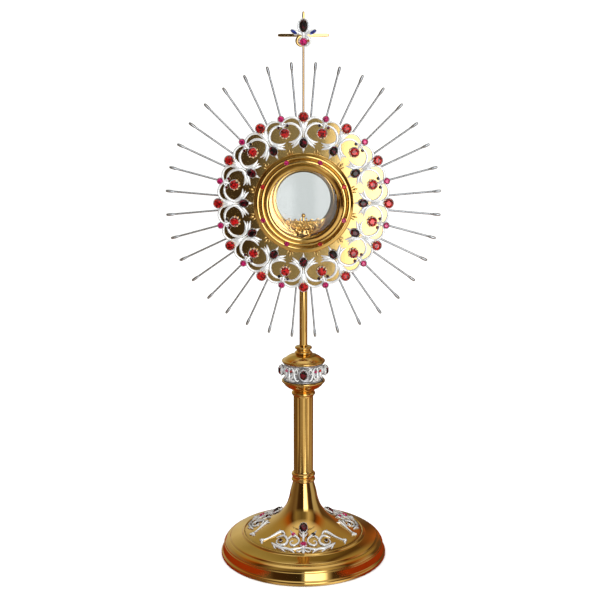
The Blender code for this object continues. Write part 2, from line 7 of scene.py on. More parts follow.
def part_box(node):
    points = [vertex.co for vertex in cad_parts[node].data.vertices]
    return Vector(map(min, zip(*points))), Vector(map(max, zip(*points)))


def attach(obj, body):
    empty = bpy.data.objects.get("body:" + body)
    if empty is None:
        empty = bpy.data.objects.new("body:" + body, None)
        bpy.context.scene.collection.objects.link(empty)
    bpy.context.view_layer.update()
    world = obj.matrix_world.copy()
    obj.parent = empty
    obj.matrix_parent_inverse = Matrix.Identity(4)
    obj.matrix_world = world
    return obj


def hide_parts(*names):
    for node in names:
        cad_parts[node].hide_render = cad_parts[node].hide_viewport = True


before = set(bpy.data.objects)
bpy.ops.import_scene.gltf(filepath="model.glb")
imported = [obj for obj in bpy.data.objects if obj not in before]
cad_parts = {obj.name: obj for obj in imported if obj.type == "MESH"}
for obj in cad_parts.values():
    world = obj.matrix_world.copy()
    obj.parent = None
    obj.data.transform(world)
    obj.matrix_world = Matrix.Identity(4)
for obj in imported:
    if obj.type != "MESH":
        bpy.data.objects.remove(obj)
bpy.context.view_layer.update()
bpy.ops.object.select_all(action="DESELECT")
print("frame loaded:", len(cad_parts), "parts")

mm = 0.001  # the pieces are drawn in millimetres


# where the frame puts things

def turnedBy(angle, axis="Z"):
    return Matrix.Rotation(angle, 4, axis)


def bottomOf(node):
    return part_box(node)[0].z / mm


def backOf(node):
    return -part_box(node)[1].y / mm  # the head looks along -Y, so its depth grows that way


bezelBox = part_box("front_bezel")
headHeight = (bezelBox[0].z + bezelBox[1].z) / 2
headFrame = Matrix.Translation((0, 0, headHeight)) @ turnedBy(pi / 2, "X")


def onStem(node):
    return Matrix.Translation((0, 0, bottomOf(node) * mm))


def onHead(node):
    return headFrame @ Matrix.Translation((0, 0, backOf(node) * mm))


def shift(x, y, z):
    return Matrix.Translation(Vector((x, y, z)) * mm)


# bench tools: select, copy, join, soften

def select(*pieces):
    bpy.ops.object.select_all(action="DESELECT")
    for piece in pieces:
        piece.select_set(True)
    bpy.context.view_layer.objects.active = pieces[0]


def copyOf(master, name, matrix=Matrix()):
    twin = master.copy()
    twin.data = master.data.copy()
    bpy.context.collection.objects.link(twin)
    twin.name = name
    twin.data.transform(matrix)
    if matrix.determinant() < 0:
        twin.data.flip_normals()
    return twin


def joinUp(name, pieces):
    select(*pieces)
    if len(pieces) > 1:
        bpy.ops.object.join()
    pieces[0].name = name
    return pieces[0]


def ringOf(master, name, count, matrixFor):
    return joinUp(name, [copyOf(master, name, matrixFor(index)) for index in range(count)])


def discard(*pieces):
    for piece in pieces:
        bpy.data.objects.remove(piece)


def applyLast(piece):
    select(piece)
    bpy.ops.object.modifier_apply(modifier=piece.modifiers[-1].name)


def softEdges(piece, width, segments=2, angle=40):
    bevel = piece.modifiers.new("softEdges", "BEVEL")
    bevel.width = width * mm
    bevel.segments = segments
    bevel.limit_method = "ANGLE"
    bevel.angle_limit = radians(angle)
    applyLast(piece)
    return piece


def editing(on=True):
    bpy.ops.object.mode_set(mode="EDIT" if on else "OBJECT")


def pick(action="SELECT"):
    bpy.ops.mesh.select_all(action=action)


def closeUp():
    pick()
    bpy.ops.mesh.remove_doubles(threshold=0.000004)
    bpy.ops.mesh.normals_make_consistent(inside=False)


# profiles: a third number on a point rounds that corner

def softened(points):
    path = []
    for index, point in enumerate(points):
        here = Vector(point[:2])
        if len(point) < 3:
            path.append(here)
            continue
        before = Vector(points[index - 1][:2]) - here
        after = Vector(points[(index + 1) % len(points)][:2]) - here
        start = here + before.normalized() * min(point[2], 0.45 * before.length)
        end = here + after.normalized() * min(point[2], 0.45 * after.length)
        for step in range(5):
            share = step / 4
            path.append(start.lerp(here, share).lerp(here.lerp(end, share), share))
    return path


def flowing(points, steps=5):
    knots = [Vector(point) for point in points]
    knots = [2 * knots[0] - knots[1]] + knots + [2 * knots[-1] - knots[-2]]
    path = []
    for a, b, c, d in zip(knots, knots[1:], knots[2:], knots[3:]):
        for step in range(steps):
            t = step / steps
            path.append(0.5 * (2 * b + (c - a) * t + (2 * a - 5 * b + 4 * c - d) * t * t
                               + (3 * b - a - 3 * c + d) * t ** 3))
    return [tuple(point) for point in path + [knots[-2]]]


def turn(name, points, matrix=Matrix(), steps=96, closed=True):
    path = softened(points)
    if closed:
        path.append(path[0])
    bpy.ops.mesh.primitive_plane_add(size=mm)
    piece = bpy.context.object
    piece.name = name
    editing()
    bpy.ops.mesh.select_mode(type="VERT")
    pick()
    bpy.ops.mesh.merge(type="CENTER")
    bpy.ops.transform.translate(value=(path[0].x * mm, 0, path[0].y * mm))
    for here, there in zip(path, path[1:]):
        step = (there - here) * mm
        bpy.ops.mesh.extrude_region_move(TRANSFORM_OT_translate={"value": (step.x, 0, step.y)})
    pick()
    bpy.ops.mesh.spin(steps=steps, angle=2 * pi, center=(0, 0, 0), axis=(0, 0, 1))
    closeUp()
    editing(False)
    piece.data.transform(matrix)
    return piece


def block(name, low, high, bevel=0.25):
    low, high = Vector(low), Vector(high)
    bpy.ops.mesh.primitive_cube_add(size=mm, location=(low + high) / 2 * mm)
    piece = bpy.context.object
    piece.name = name
    piece.scale = high - low
    bpy.ops.object.transform_apply(location=True, rotation=True, scale=True)
    return softEdges(piece, bevel)


def flatPiece(name, loops, low, high, matrix=Matrix(), bevel=0.2):
    bpy.ops.curve.primitive_bezier_circle_add()
    piece = bpy.context.object
    piece.name = name
    sheet = piece.data
    sheet.splines.clear()
    sheet.dimensions = "2D"
    sheet.fill_mode = "BOTH"
    sheet.extrude = (high - low) / 2 * mm
    for loop in loops:
        spline = sheet.splines.new("POLY")
        spline.points.add(len(loop) - 1)
        spline.use_cyclic_u = True
        for point, (x, y) in zip(spline.points, loop):
            point.co = (x * mm, y * mm, 0, 1)
    bpy.ops.object.convert(target="MESH")
    editing()
    closeUp()
    editing(False)
    piece.data.transform(matrix @ shift(0, 0, (low + high) / 2))
    return softEdges(piece, bevel)


def arc(radius, start, end, count, centre=(0, 0)):
    angles = [radians(start + (end - start) * index / (count - 1)) for index in range(count)]
    return [(centre[0] + radius * cos(a), centre[1] + radius * sin(a)) for a in angles]


# scrollwork: each line is (across, along, width) points, placed on a surface

def mirrored(lines):
    return lines + [[(-across, along, width) for across, along, width in line] for line in lines]


def scrollWork(name, lines, place, smooth=5, grow=1.0):
    bpy.ops.curve.primitive_bezier_curve_add()
    work = bpy.context.object
    work.name = name
    wire = work.data
    wire.splines.clear()
    wire.dimensions = "3D"
    wire.bevel_depth = mm / 2
    wire.bevel_resolution = 2
    wire.use_fill_caps = True
    wire.resolution_u = smooth
    for line in lines:
        spline = wire.splines.new("BEZIER")
        spline.bezier_points.add(len(line) - 1)
        for point, (across, along, width) in zip(spline.bezier_points, line):
            point.co = place(across, along, width)
            point.radius = width * grow
            point.handle_left_type = "AUTO"
            point.handle_right_type = "AUTO"
    bpy.ops.object.convert(target="MESH")
    editing()
    closeUp()
    editing(False)
    return work


def onFlat(across, along, width):
    return Vector((across, along, width / 2)) * mm


def flatWork(name, lines, rise, matrix=Matrix()):
    work = scrollWork(name, lines, onFlat)
    work.data.transform(matrix @ Matrix.Diagonal((1, 1, rise, 1)))
    return work


# shader groups

def newGroup(name, outputs, numbers=()):
    # every group is fed a vector, then numbers given as (label, value), and hands out numbers
    group = bpy.data.node_groups.new(name, "ShaderNodeTree")
    sockets = group.interface
    sockets.new_socket("Vector", in_out="INPUT", socket_type="NodeSocketVector")
    for label, value in numbers:
        sockets.new_socket(label, in_out="INPUT", socket_type="NodeSocketFloat").default_value = value
    for label in outputs:
        sockets.new_socket(label, in_out="OUTPUT", socket_type="NodeSocketFloat")
    return group, group.nodes.new("NodeGroupInput"), group.nodes.new("NodeGroupOutput")


def give(node, values):
    for label, value in values.items():
        node.inputs[label].default_value = value


def addNode(tree, kind, settings=None, **values):
    node = tree.nodes.new("ShaderNode" + kind)
    for label, value in (settings or {}).items():
        setattr(node, label, value)
    give(node, values)
    return node


def mathNode(tree, operation, first, second, clamp=False):
    node = addNode(tree, "Math", {"operation": operation, "use_clamp": clamp})
    for socket, value in zip(node.inputs, (first, second)):
        if isinstance(value, (int, float)):
            socket.default_value = value
        else:
            tree.links.new(value, socket)
    return node.outputs[0]


def rangeNode(tree, value, low, high, toLow, toHigh):
    node = addNode(tree, "MapRange")
    give(node, {"From Min": low, "From Max": high, "To Min": toLow, "To Max": toHigh})
    tree.links.new(value, node.inputs["Value"])
    return node.outputs["Result"]


def mixColours(tree, factor, first, second):
    node = addNode(tree, "Mix", {"data_type": "RGBA"})
    for socket, value in ((node.inputs[0], factor), (node.inputs[6], first), (node.inputs[7], second)):
        if isinstance(value, (tuple, float, int)):
            socket.default_value = value if isinstance(value, (float, int)) else (*value, 1)
        else:
            tree.links.new(value, socket)
    return node.outputs[2]


def noiseNode(tree, vector, scale, detail=2.0, roughness=0.5):
    node = addNode(tree, "TexNoise", Scale=scale, Detail=detail, Roughness=roughness)
    tree.links.new(vector, node.inputs["Vector"])
    return node.outputs["Fac"]


def makeHandlingGroup():
    # soft smears from handling and cloths, and fine hairlines in two directions
    group, given, made = newGroup("handlingMarks", ["Smears", "Hairlines"], [("Smear Scale", 30)])
    smear = noiseNode(group, given.outputs["Vector"], 30.0, 4.0, 0.6)
    group.links.new(given.outputs["Smear Scale"], smear.node.inputs["Scale"])
    group.links.new(rangeNode(group, smear, 0.42, 0.68, 0.0, 1.0), made.inputs["Smears"])
    lines = []
    for turnBy in ((0.3, 0.5, 0.2), (1.1, -0.4, 1.3)):
        lay = addNode(group, "Mapping", Rotation=turnBy, Scale=(900, 40, 900))
        group.links.new(given.outputs["Vector"], lay.inputs["Vector"])
        lines.append(noiseNode(group, lay.outputs["Vector"], 1.0, 1.0))
    group.links.new(mathNode(group, "ADD", *lines), made.inputs["Hairlines"])
    return group


def makeLatheGroup():
    # rings left by turning and buffing, about local Z
    group, given, made = newGroup("latheRings", ["Rings"])
    parts = addNode(group, "SeparateXYZ")
    group.links.new(given.outputs["Vector"], parts.inputs[0])
    squares = [mathNode(group, "MULTIPLY", parts.outputs[i], parts.outputs[i]) for i in (0, 1)]
    radius = mathNode(group, "SQRT", mathNode(group, "ADD", *squares), 0.0)
    around = addNode(group, "CombineXYZ")
    group.links.new(radius, around.inputs["X"])
    group.links.new(parts.outputs[2], around.inputs["Y"])
    group.links.new(noiseNode(group, around.outputs[0], 1400.0, 3.0), made.inputs["Rings"])
    return group


def makeCreviceGroup():
    # painted shade and tarnish: dark in the hollows; bright where edges are rubbed
    group, given, made = newGroup("creviceAndEdge", ["Hollow", "Edge"])
    point = addNode(group, "NewGeometry").outputs["Pointiness"]
    shadeAndTarnish = rangeNode(group, noiseNode(group, given.outputs["Vector"], 260.0, 3.0), 0.3, 0.7, 0.4, 1.0)
    hollow = rangeNode(group, point, 0.5, 0.44, 0.0, 1.0)
    group.links.new(mathNode(group, "MULTIPLY", hollow, shadeAndTarnish), made.inputs["Hollow"])
    group.links.new(rangeNode(group, point, 0.51, 0.58, 0.0, 1.0), made.inputs["Edge"])
    return group


def makeFacetGroup():
    # painted glints and shade: cells of a foiled stone painted as lit or in shade
    group, given, made = newGroup("stoneGlints", ["Glint"], [("Cell Scale", 800)])
    cells = addNode(group, "TexVoronoi")
    group.links.new(given.outputs["Vector"], cells.inputs["Vector"])
    group.links.new(given.outputs["Cell Scale"], cells.inputs["Scale"])
    parts = addNode(group, "SeparateColor")
    group.links.new(cells.outputs["Color"], parts.inputs[0])
    group.links.new(parts.outputs[0], made.inputs["Glint"])
    return group


handlingMarks = makeHandlingGroup()
latheRings = makeLatheGroup()
creviceAndEdge = makeCreviceGroup()
stoneGlints = makeFacetGroup()


def placeGroup(tree, group, vector, **values):
    node = tree.nodes.new("ShaderNodeGroup")
    node.node_tree = group
    tree.links.new(vector, node.inputs["Vector"])
    for label, value in values.items():
        node.inputs[label.replace("_", " ")].default_value = value
    return node


def newMaterial(name):
    material = bpy.data.materials.new(name)
    material.use_nodes = True
    tree = material.node_tree
    shader = tree.nodes["Principled BSDF"]
    coords = tree.nodes.new("ShaderNodeTexCoord").outputs["Object"]
    return material, tree, shader, coords


def metalFinish(name, style):
    material, tree, shader, coords = newMaterial(name)
    vector = coords
    if style.get("aboutHead"):  # turns the pattern's axis to the head's
        centre = addNode(tree, "Mapping", Location=(0, -headHeight, 0), Rotation=(-pi / 2, 0, 0))
        tree.links.new(coords, centre.inputs["Vector"])
        vector = centre.outputs["Vector"]
    marks = placeGroup(tree, handlingMarks, vector, Smear_Scale=style["smearScale"])
    shadeAndWear = placeGroup(tree, creviceAndEdge, vector)
    colour = mixColours(tree, marks.outputs["Smears"], style["colour"], style["warm"])
    # painted shade and tarnish: the hollows darken towards the hollow colour
    depth = mathNode(tree, "MULTIPLY", shadeAndWear.outputs["Hollow"], style["shadeAndTarnish"])
    colour = mixColours(tree, depth, colour, style["hollow"])
    shine = mathNode(tree, "MULTIPLY", shadeAndWear.outputs["Edge"], 0.5)
    colour = mixColours(tree, shine, colour, style["edge"])
    if style.get("sideShade"):  # painted shade: sides seen edge-on darken towards the hollow colour
        facing = addNode(tree, "LayerWeight", Blend=0.5).outputs["Facing"]
        steep = rangeNode(tree, facing, 0.36, 0.84, 0.0, style["sideShade"])
        colour = mixColours(tree, steep, colour, style["hollow"])
    tree.links.new(colour, shader.inputs["Base Color"])
    smear = rangeNode(tree, marks.outputs["Smears"], 0, 1, style["roughness"], style["smeared"])
    dull = mathNode(tree, "MULTIPLY", depth, 0.3)
    tree.links.new(mathNode(tree, "ADD", smear, dull, True), shader.inputs["Roughness"])
    height = marks.outputs["Hairlines"]
    if style.get("rings"):
        rings = placeGroup(tree, latheRings, vector)
        ringing = mathNode(tree, "MULTIPLY", rings.outputs["Rings"], style["rings"])
        height = mathNode(tree, "ADD", height, ringing)
    bump = addNode(tree, "Bump", Distance=0.00001, Strength=style["bump"])
    tree.links.new(height, bump.inputs["Height"])
    tree.links.new(bump.outputs["Normal"], shader.inputs["Normal"])
    shader.inputs["Metallic"].default_value = style.get("metallic", 1.0)
    return material


# the hollow colour and the number after it set the painted shade and tarnish in the hollows
goldStyle = {
    "colour": (0.9, 0.6, 0.2), "warm": (0.86, 0.55, 0.17), "edge": (0.98, 0.8, 0.42),
    "hollow": (0.16, 0.07, 0.02), "shadeAndTarnish": 0.5, "roughness": 0.045, "smeared": 0.095, "smearScale": 45,
    "bump": 0.12}
silverStyle = {
    "colour": (0.84, 0.88, 0.91), "warm": (0.72, 0.76, 0.8), "edge": (0.97, 0.98, 1),
    "hollow": (0.05, 0.05, 0.06), "shadeAndTarnish": 0.9, "sideShade": 0.95, "roughness": 0.16, "smeared": 0.24,
    "smearScale": 120, "bump": 0.2, "metallic": 0.62}
rayStyle = {
    "colour": (0.54, 0.59, 0.67), "warm": (0.44, 0.48, 0.55), "edge": (0.66, 0.71, 0.79),
    "hollow": (0.2, 0.2, 0.2), "shadeAndTarnish": 0.3, "roughness": 0.26, "smeared": 0.34, "smearScale": 60,
    "bump": 0.25, "metallic": 0.96}
steelStyle = {
    "colour": (0.56, 0.56, 0.58), "warm": (0.5, 0.49, 0.48), "edge": (0.8, 0.8, 0.8),
    "hollow": (0.1, 0.08, 0.06), "shadeAndTarnish": 0.6, "roughness": 0.26, "smeared": 0.38, "smearScale": 60,
    "bump": 0.5}
giltStem = metalFinish("giltTurnedStem", {**goldStyle, "rings": 1.2})
giltHead = metalFinish("giltTurnedHead", {**goldStyle, "rings": 1.2, "aboutHead": True, "shadeAndTarnish": 0.85})
giltCast = metalFinish("giltCast", {**goldStyle, "roughness": 0.14, "smeared": 0.22, "shadeAndTarnish": 0.8})
giltRose = metalFinish("giltRose", {**goldStyle, "colour": (0.86, 0.56, 0.40), "roughness": 0.2})
giltClaw = metalFinish("giltClaw", {
    **goldStyle, "colour": (0.96, 0.74, 0.6), "warm": (0.92, 0.66, 0.52), "roughness": 0.2,
    "metallic": 0.6})
silverCast = metalFinish("silverCast", silverStyle)
silverSunk = metalFinish("silverSunk", {  # the blackened ground behind relief
    **silverStyle, "colour": (0.42, 0.42, 0.44), "warm": (0.28, 0.28, 0.30), "metallic": 0.75})
silverRay = metalFinish("silverRay", rayStyle)
brightSteel = metalFinish("brightSteel", steelStyle)


def stoneFinish(name, style):
    material, tree, shader, coords = newMaterial(name)
    glints = placeGroup(tree, stoneGlints, coords, Cell_Scale=style["cells"])
    # painted glints: lit cells are painted bright, the rest dark as if in shade
    lit = rangeNode(tree, glints.outputs["Glint"], style["lit"], 0.95, 0.0, 1.0)
    tree.links.new(mixColours(tree, lit, style["deep"], style["bright"]), shader.inputs["Base Color"])
    # painted glow: the lit cells also shine by emission
    glow = mixColours(tree, lit, (0, 0, 0), style["bright"])
    tree.links.new(glow, shader.inputs["Emission Color"])
    tree.links.new(rangeNode(tree, glints.outputs["Glint"], 0, 1, 0.03, 0.09), shader.inputs["Roughness"])
    give(shader, {"Emission Strength": style["glow"], "IOR": style.get("bend", 1.76),
                  "Metallic": style["foil"], "Coat Weight": style.get("polish", 0.6),
                  "Coat Roughness": 0.02})
    return material


stoneLooks = {
    "ruby": {"deep": (0.07, 0.001, 0.002), "bright": (0.6, 0.009, 0.011), "cells": 520, "lit": 0.2,
             "glow": 0.08, "foil": 0.4},
    "garnet": {"deep": (0.002, 0.0005, 0.001), "bright": (0.09, 0.0008, 0.006), "cells": 420, "lit": 0.6,
               "glow": 0.03, "foil": 0, "bend": 1.5, "polish": 0.2},
    "rose": {"deep": (0.16, 0.002, 0.035), "bright": (0.62, 0.01, 0.16), "cells": 900, "lit": 0.2,
             "glow": 0.08, "foil": 0.35},
    "sapphire": {"deep": (0.004, 0.008, 0.05), "bright": (0.02, 0.05, 0.38), "cells": 900, "lit": 0.3,
                 "glow": 0.05, "foil": 0.3},
}
stoneMaterials = {name: stoneFinish(name + "Stone", look) for name, look in stoneLooks.items()}


def makeGlass(name, tint):
    material, tree, shader, coords = newMaterial(name)
    marks = placeGroup(tree, handlingMarks, coords, Smear_Scale=25.0)
    tree.links.new(rangeNode(tree, marks.outputs["Smears"], 0, 1, 0.0, 0.03), shader.inputs["Roughness"])
    give(shader, {"Base Color": (*tint, 1), "Transmission Weight": 1, "IOR": 1.5})
    return material


def makeFelt():
    material, tree, shader, coords = newMaterial("greenFelt")
    fibre = noiseNode(tree, coords, 900.0, 5.0, 0.7)
    cloud = noiseNode(tree, coords, 60.0, 2.0)
    shade = mixColours(tree, fibre, (0.02, 0.07, 0.035), (0.06, 0.19, 0.10))
    tree.links.new(mixColours(tree, cloud, shade, (0.04, 0.13, 0.07)), shader.inputs["Base Color"])
    bump = addNode(tree, "Bump", Distance=0.0004, Strength=0.8)
    tree.links.new(fibre, bump.inputs["Height"])
    tree.links.new(bump.outputs["Normal"], shader.inputs["Normal"])
    give(shader, {"Roughness": 0.95, "Sheen Weight": 0.4})
    return material


frontGlass = makeGlass("frontWindowGlass", (0.985, 0.99, 0.99))
rearGlass = makeGlass("rearWindowGlass", (0.60, 0.64, 0.635))
greenFelt = makeFelt()
print("finishes made")


# hand a finished piece over: finish, the nodes it stands for, its body

gilt, silver, steel, clear, gemstone, felt = ("gilt_brass", "silver_plate", "steel", "clear_glass",
                                              "garnet", "felt")


def handOver(piece, material, nodes=(), body="root", crease=32):
    piece.data.materials.clear()
    piece.data.materials.append(material)
    select(piece)
    bpy.ops.object.shade_smooth_by_angle(angle=radians(crease))
    if nodes:
        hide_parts(*nodes)
    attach(piece, body)
    return piece


# stones: one cut stone, one collet and one claw, copied to every setting

def makeStone(name, sides):
    bpy.ops.mesh.primitive_cylinder_add(vertices=sides, radius=1, depth=0.36, location=(0, 0, 0.18))
    stone = bpy.context.object
    stone.name = name
    bpy.ops.object.transform_apply(location=True, rotation=True, scale=True)
    editing()
    bpy.ops.mesh.select_mode(type="FACE")
    for thickness, rise in ((0.24, 0.34), (0.24, 0.20)):
        selectTop(stone)
        bpy.ops.mesh.inset(thickness=thickness)
        bpy.ops.transform.translate(value=(0, 0, rise))
        bpy.ops.transform.rotate(value=pi / sides, orient_axis="Z", center_override=(0, 0, 0))
    pick()
    bpy.ops.mesh.quads_convert_to_tris(quad_method="SHORTEST_DIAGONAL")
    editing(False)
    return stone


def selectTop(piece):
    pick("DESELECT")
    editing(False)
    highest = max(face.center.z for face in piece.data.polygons)
    for face in piece.data.polygons:
        face.select = face.center.z > highest - 0.001 and face.normal.z > 0.9
    editing()


def makeClaw():
    bpy.ops.mesh.primitive_uv_sphere_add(segments=8, ring_count=6, radius=1)
    claw = bpy.context.object
    claw.data.transform(turnedBy(radians(24), "Y") @ Matrix.Diagonal((0.75, 0.75, 1.7, 1)))
    return claw


cutStone = makeStone("cutStone", 10)
collet = turn("collet", [(0.98 / mm, 0.30 / mm), (1.05 / mm, 0.32 / mm), (1.10 / mm, 0.16 / mm),
                         (1.16 / mm, 0.0), (0.9 / mm, 0.0)], steps=20)
clawBead = makeClaw()


def setStone(sort, matrix, tray):
    wide, tall = sort["half"]
    sized = matrix @ Matrix.Diagonal((wide * mm, tall * mm, sort["height"] * mm, 1))
    tray.setdefault(sort["stone"], []).append(copyOf(cutStone, "stone", sized))
    metal = sort.get("metal", "silver")
    tray.setdefault(metal, []).append(copyOf(collet, "collet", sized))
    clawSize = sort.get("clawSize", 0.6) * mm
    for index in range(sort.get("claws", 0)):
        first, last = sort.get("clawArc", (0, 360))
        angle = radians(first + (last - first) * (index + 0.5) / sort["claws"])
        spot = Vector((1.06 * wide * cos(angle), 1.06 * tall * sin(angle), 0.5 * sort["height"])) * mm
        lean = Matrix.Translation(spot) @ turnedBy(angle + pi)
        size = Matrix.Diagonal((clawSize, clawSize, clawSize, 1))
        claw = copyOf(clawBead, "claw", matrix @ lean @ size)
        tray.setdefault(sort.get("clawMetal", metal), []).append(claw)


metalMaterials = {"silver": (silverCast, silver), "gold": (giltCast, gilt), "warmGold": (giltClaw, gilt),
                  "sunk": (silverSunk, silver)}


def handTray(prefix, tray, nodes=(), body="root"):
    # every material in the tray becomes one piece; the silver or gold one stands for the node
    standsFor = "silver" if "silver" in tray else "gold"
    for label, pieces in tray.items():
        piece = joinUp(prefix + label[0].upper() + label[1:], pieces)
        if label in metalMaterials:
            material, slotName = metalMaterials[label]
            handOver(piece, material, nodes if label == standsFor else (), body, 60)
        else:
            handOver(piece, stoneMaterials[label], (), body, 4)


def joinTray(name, tray):
    return {label: joinUp(name + label, pieces) for label, pieces in tray.items()}


def handCopies(prefix, master, matrix, node):
    copies = {label: [copyOf(piece, "part", matrix)] for label, piece in master.items()}
    handTray(prefix, copies, [node])


# the foot

footCone = [(12, 86.1), (12.9, 82.1), (14.9, 74.6), (17, 64.6), (21, 54.6), (29.3, 44.6), (41, 37),
            (55, 30.8), (66, 26.4)]
foot = {
    "rim": [(67.4, 26.1), (68.4, 26.9, 0.5), (69.9, 26.6, 0.6), (70.7, 24.9, 0.4), (71.6, 24.3, 0.4),
            (77, 23.1), (84, 20.9, 0.7), (85.2, 19.2, 0.4), (86.4, 19.1, 0.4), (88.8, 17.6, 0.8),
            (90.9, 15, 0.6), (91, 13.9, 0.3), (91.9, 13.2, 0.4), (93, 5.4, 0.8), (93.7, 4.7, 0.4),
            (94.5, 4.2, 0.5), (95, 3.2, 0.5), (95, 0.5, 0.4), (94.2, 0, 0.3), (92.3, 0, 0.2)],
    "inside": [(92, 0.3), (92, 3.8), (88.4, 12.1), (83, 18.6), (54.4, 28.6), (28.3, 42.2), (19, 52.8),
               (13.2, 71.6), (9.5, 82.9), (3.2, 82.9), (3.2, 86.1)],
    "steps": 144,
}
footCurve = flowing(footCone)
footShell = turn("footShell", footCurve + foot["rim"] + foot["inside"], onStem("foot_shell"), foot["steps"])
handOver(footShell, giltStem, ["foot_shell"])

feltPad = turn("feltPad", [(0, 1.8), (88.4, 1.8, 0.6), (89.0, 0.9), (88.5, 0, 0.5), (0, 0)],
               onStem("felt_pad"), 96, False)
handOver(feltPad, greenFelt, ["felt_pad"])
print("foot turned")


def onCone(angle, radius, lift):
    points = [Vector(point) for point in footCurve + [(67.4, 26.1), (72.0, 24.2)]]
    for inner, outer in zip(points, points[1:]):
        if inner.x <= radius <= outer.x:
            slope = (outer - inner).normalized()
            spot = inner.lerp(outer, (radius - inner.x) / (outer.x - inner.x))
            break
    out = Vector((-slope.y, slope.x)) * lift
    r, z = spot.x + out.x, spot.y + out.y + bottomOf("foot_shell")
    turned = radians(angle)
    return Vector((r * sin(turned), -r * cos(turned), z)) * mm


def coneFrame(angle, radius):
    # local Y runs up the slope, local Z stands out of it
    here = onCone(angle, radius, 0.6)
    up = (onCone(angle, radius - 1.0, 0.6) - here).normalized()
    out = (onCone(angle, radius, 1.6) - here).normalized()
    side = up.cross(out)
    return Matrix.Translation(here) @ Matrix((side, up, out)).transposed().to_4x4()


footOrnament = {
    "sides": [
        [(52, 62.2, 0.8), (50.2, 60.8, 3.6), (48.6, 58.6, 2.2), (46, 54.4, 1.8), (42.4, 48.4, 2.6),
         (38.6, 43.2, 3.2), (34.6, 41.2, 2.8), (30.2, 42.4, 1.8), (27.4, 44.8, 0.7)],
        [(46.8, 64.2, 0.7), (47.8, 62.6, 2.6), (49.2, 60.6, 1.6)],
        [(53.6, 60.4, 0.7), (52, 60.4, 2.6), (50, 60, 1.6)],
        [(39, 45, 2.2), (40.2, 41.2, 1.6), (42, 39.2, 0.5)],
        [(36.8, 50.6, 0.6), (33.6, 47.6, 1.8), (28.4, 45.8, 2.6), (22.6, 48.4, 2.8), (19.8, 53, 2.6),
         (21.2, 57, 2.8), (25.8, 58.8, 2.6), (31, 57.2, 2), (33.4, 53.4, 1.4), (32.6, 50.4, 0.6)],
        [(38.4, 58, 0.6), (35, 59.4, 2.4), (29.6, 61, 3.2), (22.8, 62.8, 3.2), (17, 62.6, 3),
         (13.2, 63.6, 2.6), (9.6, 66.2, 1.4), (8.2, 68.2, 0.5)],
        [(24, 62.6, 2.4), (20.4, 65, 1.8), (17.4, 66.8, 0.5)],
        [(33.4, 60, 2.2), (30.6, 63.2, 1.6), (28.2, 65, 0.5)],
        [(23, 37.6, 0.6), (19, 39.8, 1.8), (14.8, 42.6, 3.2), (10.2, 44.6, 2.6), (6.6, 47.4, 2.2),
         (5.6, 51.2, 2), (8.2, 55.2, 2.2), (12.2, 57, 2.4), (15.6, 54.2, 2), (14.8, 50.8, 1.2),
         (12.4, 50.6, 0.6)],
        [(14.8, 42.8, 2), (18.6, 45.8, 2.2), (20.6, 50, 2.2)],
        [(1, 44.6, 2.2), (4.4, 41.6, 1.8), (7, 39.2, 0.6)],
        [(1, 59.6, 2), (5, 60.6, 2.4), (10, 62.4, 2.6), (14, 63.2, 2.4)],
        [(0.6, 62, 1.8), (4.2, 65.2, 2), (6.4, 64.6, 1.2), (6.8, 62.6, 0.5)],
    ],
    "spine": [
        [(0, 37.8, 2.6), (0, 43.4, 3.6), (0, 48, 2.4), (0, 53, 3.2)],
        [(0, 57.4, 3.4), (0, 61.6, 2.6), (0, 65.8, 3.4), (0, 69.4, 0.8)],
    ],
    "stones": [
        (0, 33.6, {"half": (4.6, 6.4), "height": 4.8, "claws": 4, "stone": "garnet"}),
        (0, 55.5, {"half": (3.7, 3.7), "height": 3.8, "claws": 4, "stone": "rose"}),
        (14.9, 42.6, {"half": (2.4, 2.4), "height": 3.4, "stone": "garnet"}),
        (-14.9, 42.6, {"half": (2.4, 2.4), "height": 3.4, "stone": "rose"}),
        (28.8, 52.8, {"half": (2, 2), "height": 2.6, "stone": "garnet"}),
        (-28.8, 52.8, {"half": (2, 2), "height": 2.6, "stone": "garnet"}),
    ],
}


def makeFootOrnament():
    lines = mirrored(footOrnament["sides"]) + footOrnament["spine"]
    tray = {"silver": [scrollWork("footScrolls", lines, lambda a, r, width: onCone(a, r, 0.3 * width),
                                   grow=1.15)]}
    for angle, radius, sort in footOrnament["stones"]:
        setStone(sort, coneFrame(angle, radius), tray)
    return joinTray("footMaster", tray)


footMaster = makeFootOrnament()
for index in range(3):
    spun = turnedBy(2 * pi * index / 3)
    handCopies(f"footOrnament{index + 1}", footMaster, spun, f"foot_ornament_{index + 1}")
discard(*footMaster.values())
print("foot ornaments set")


# collars, column and knop

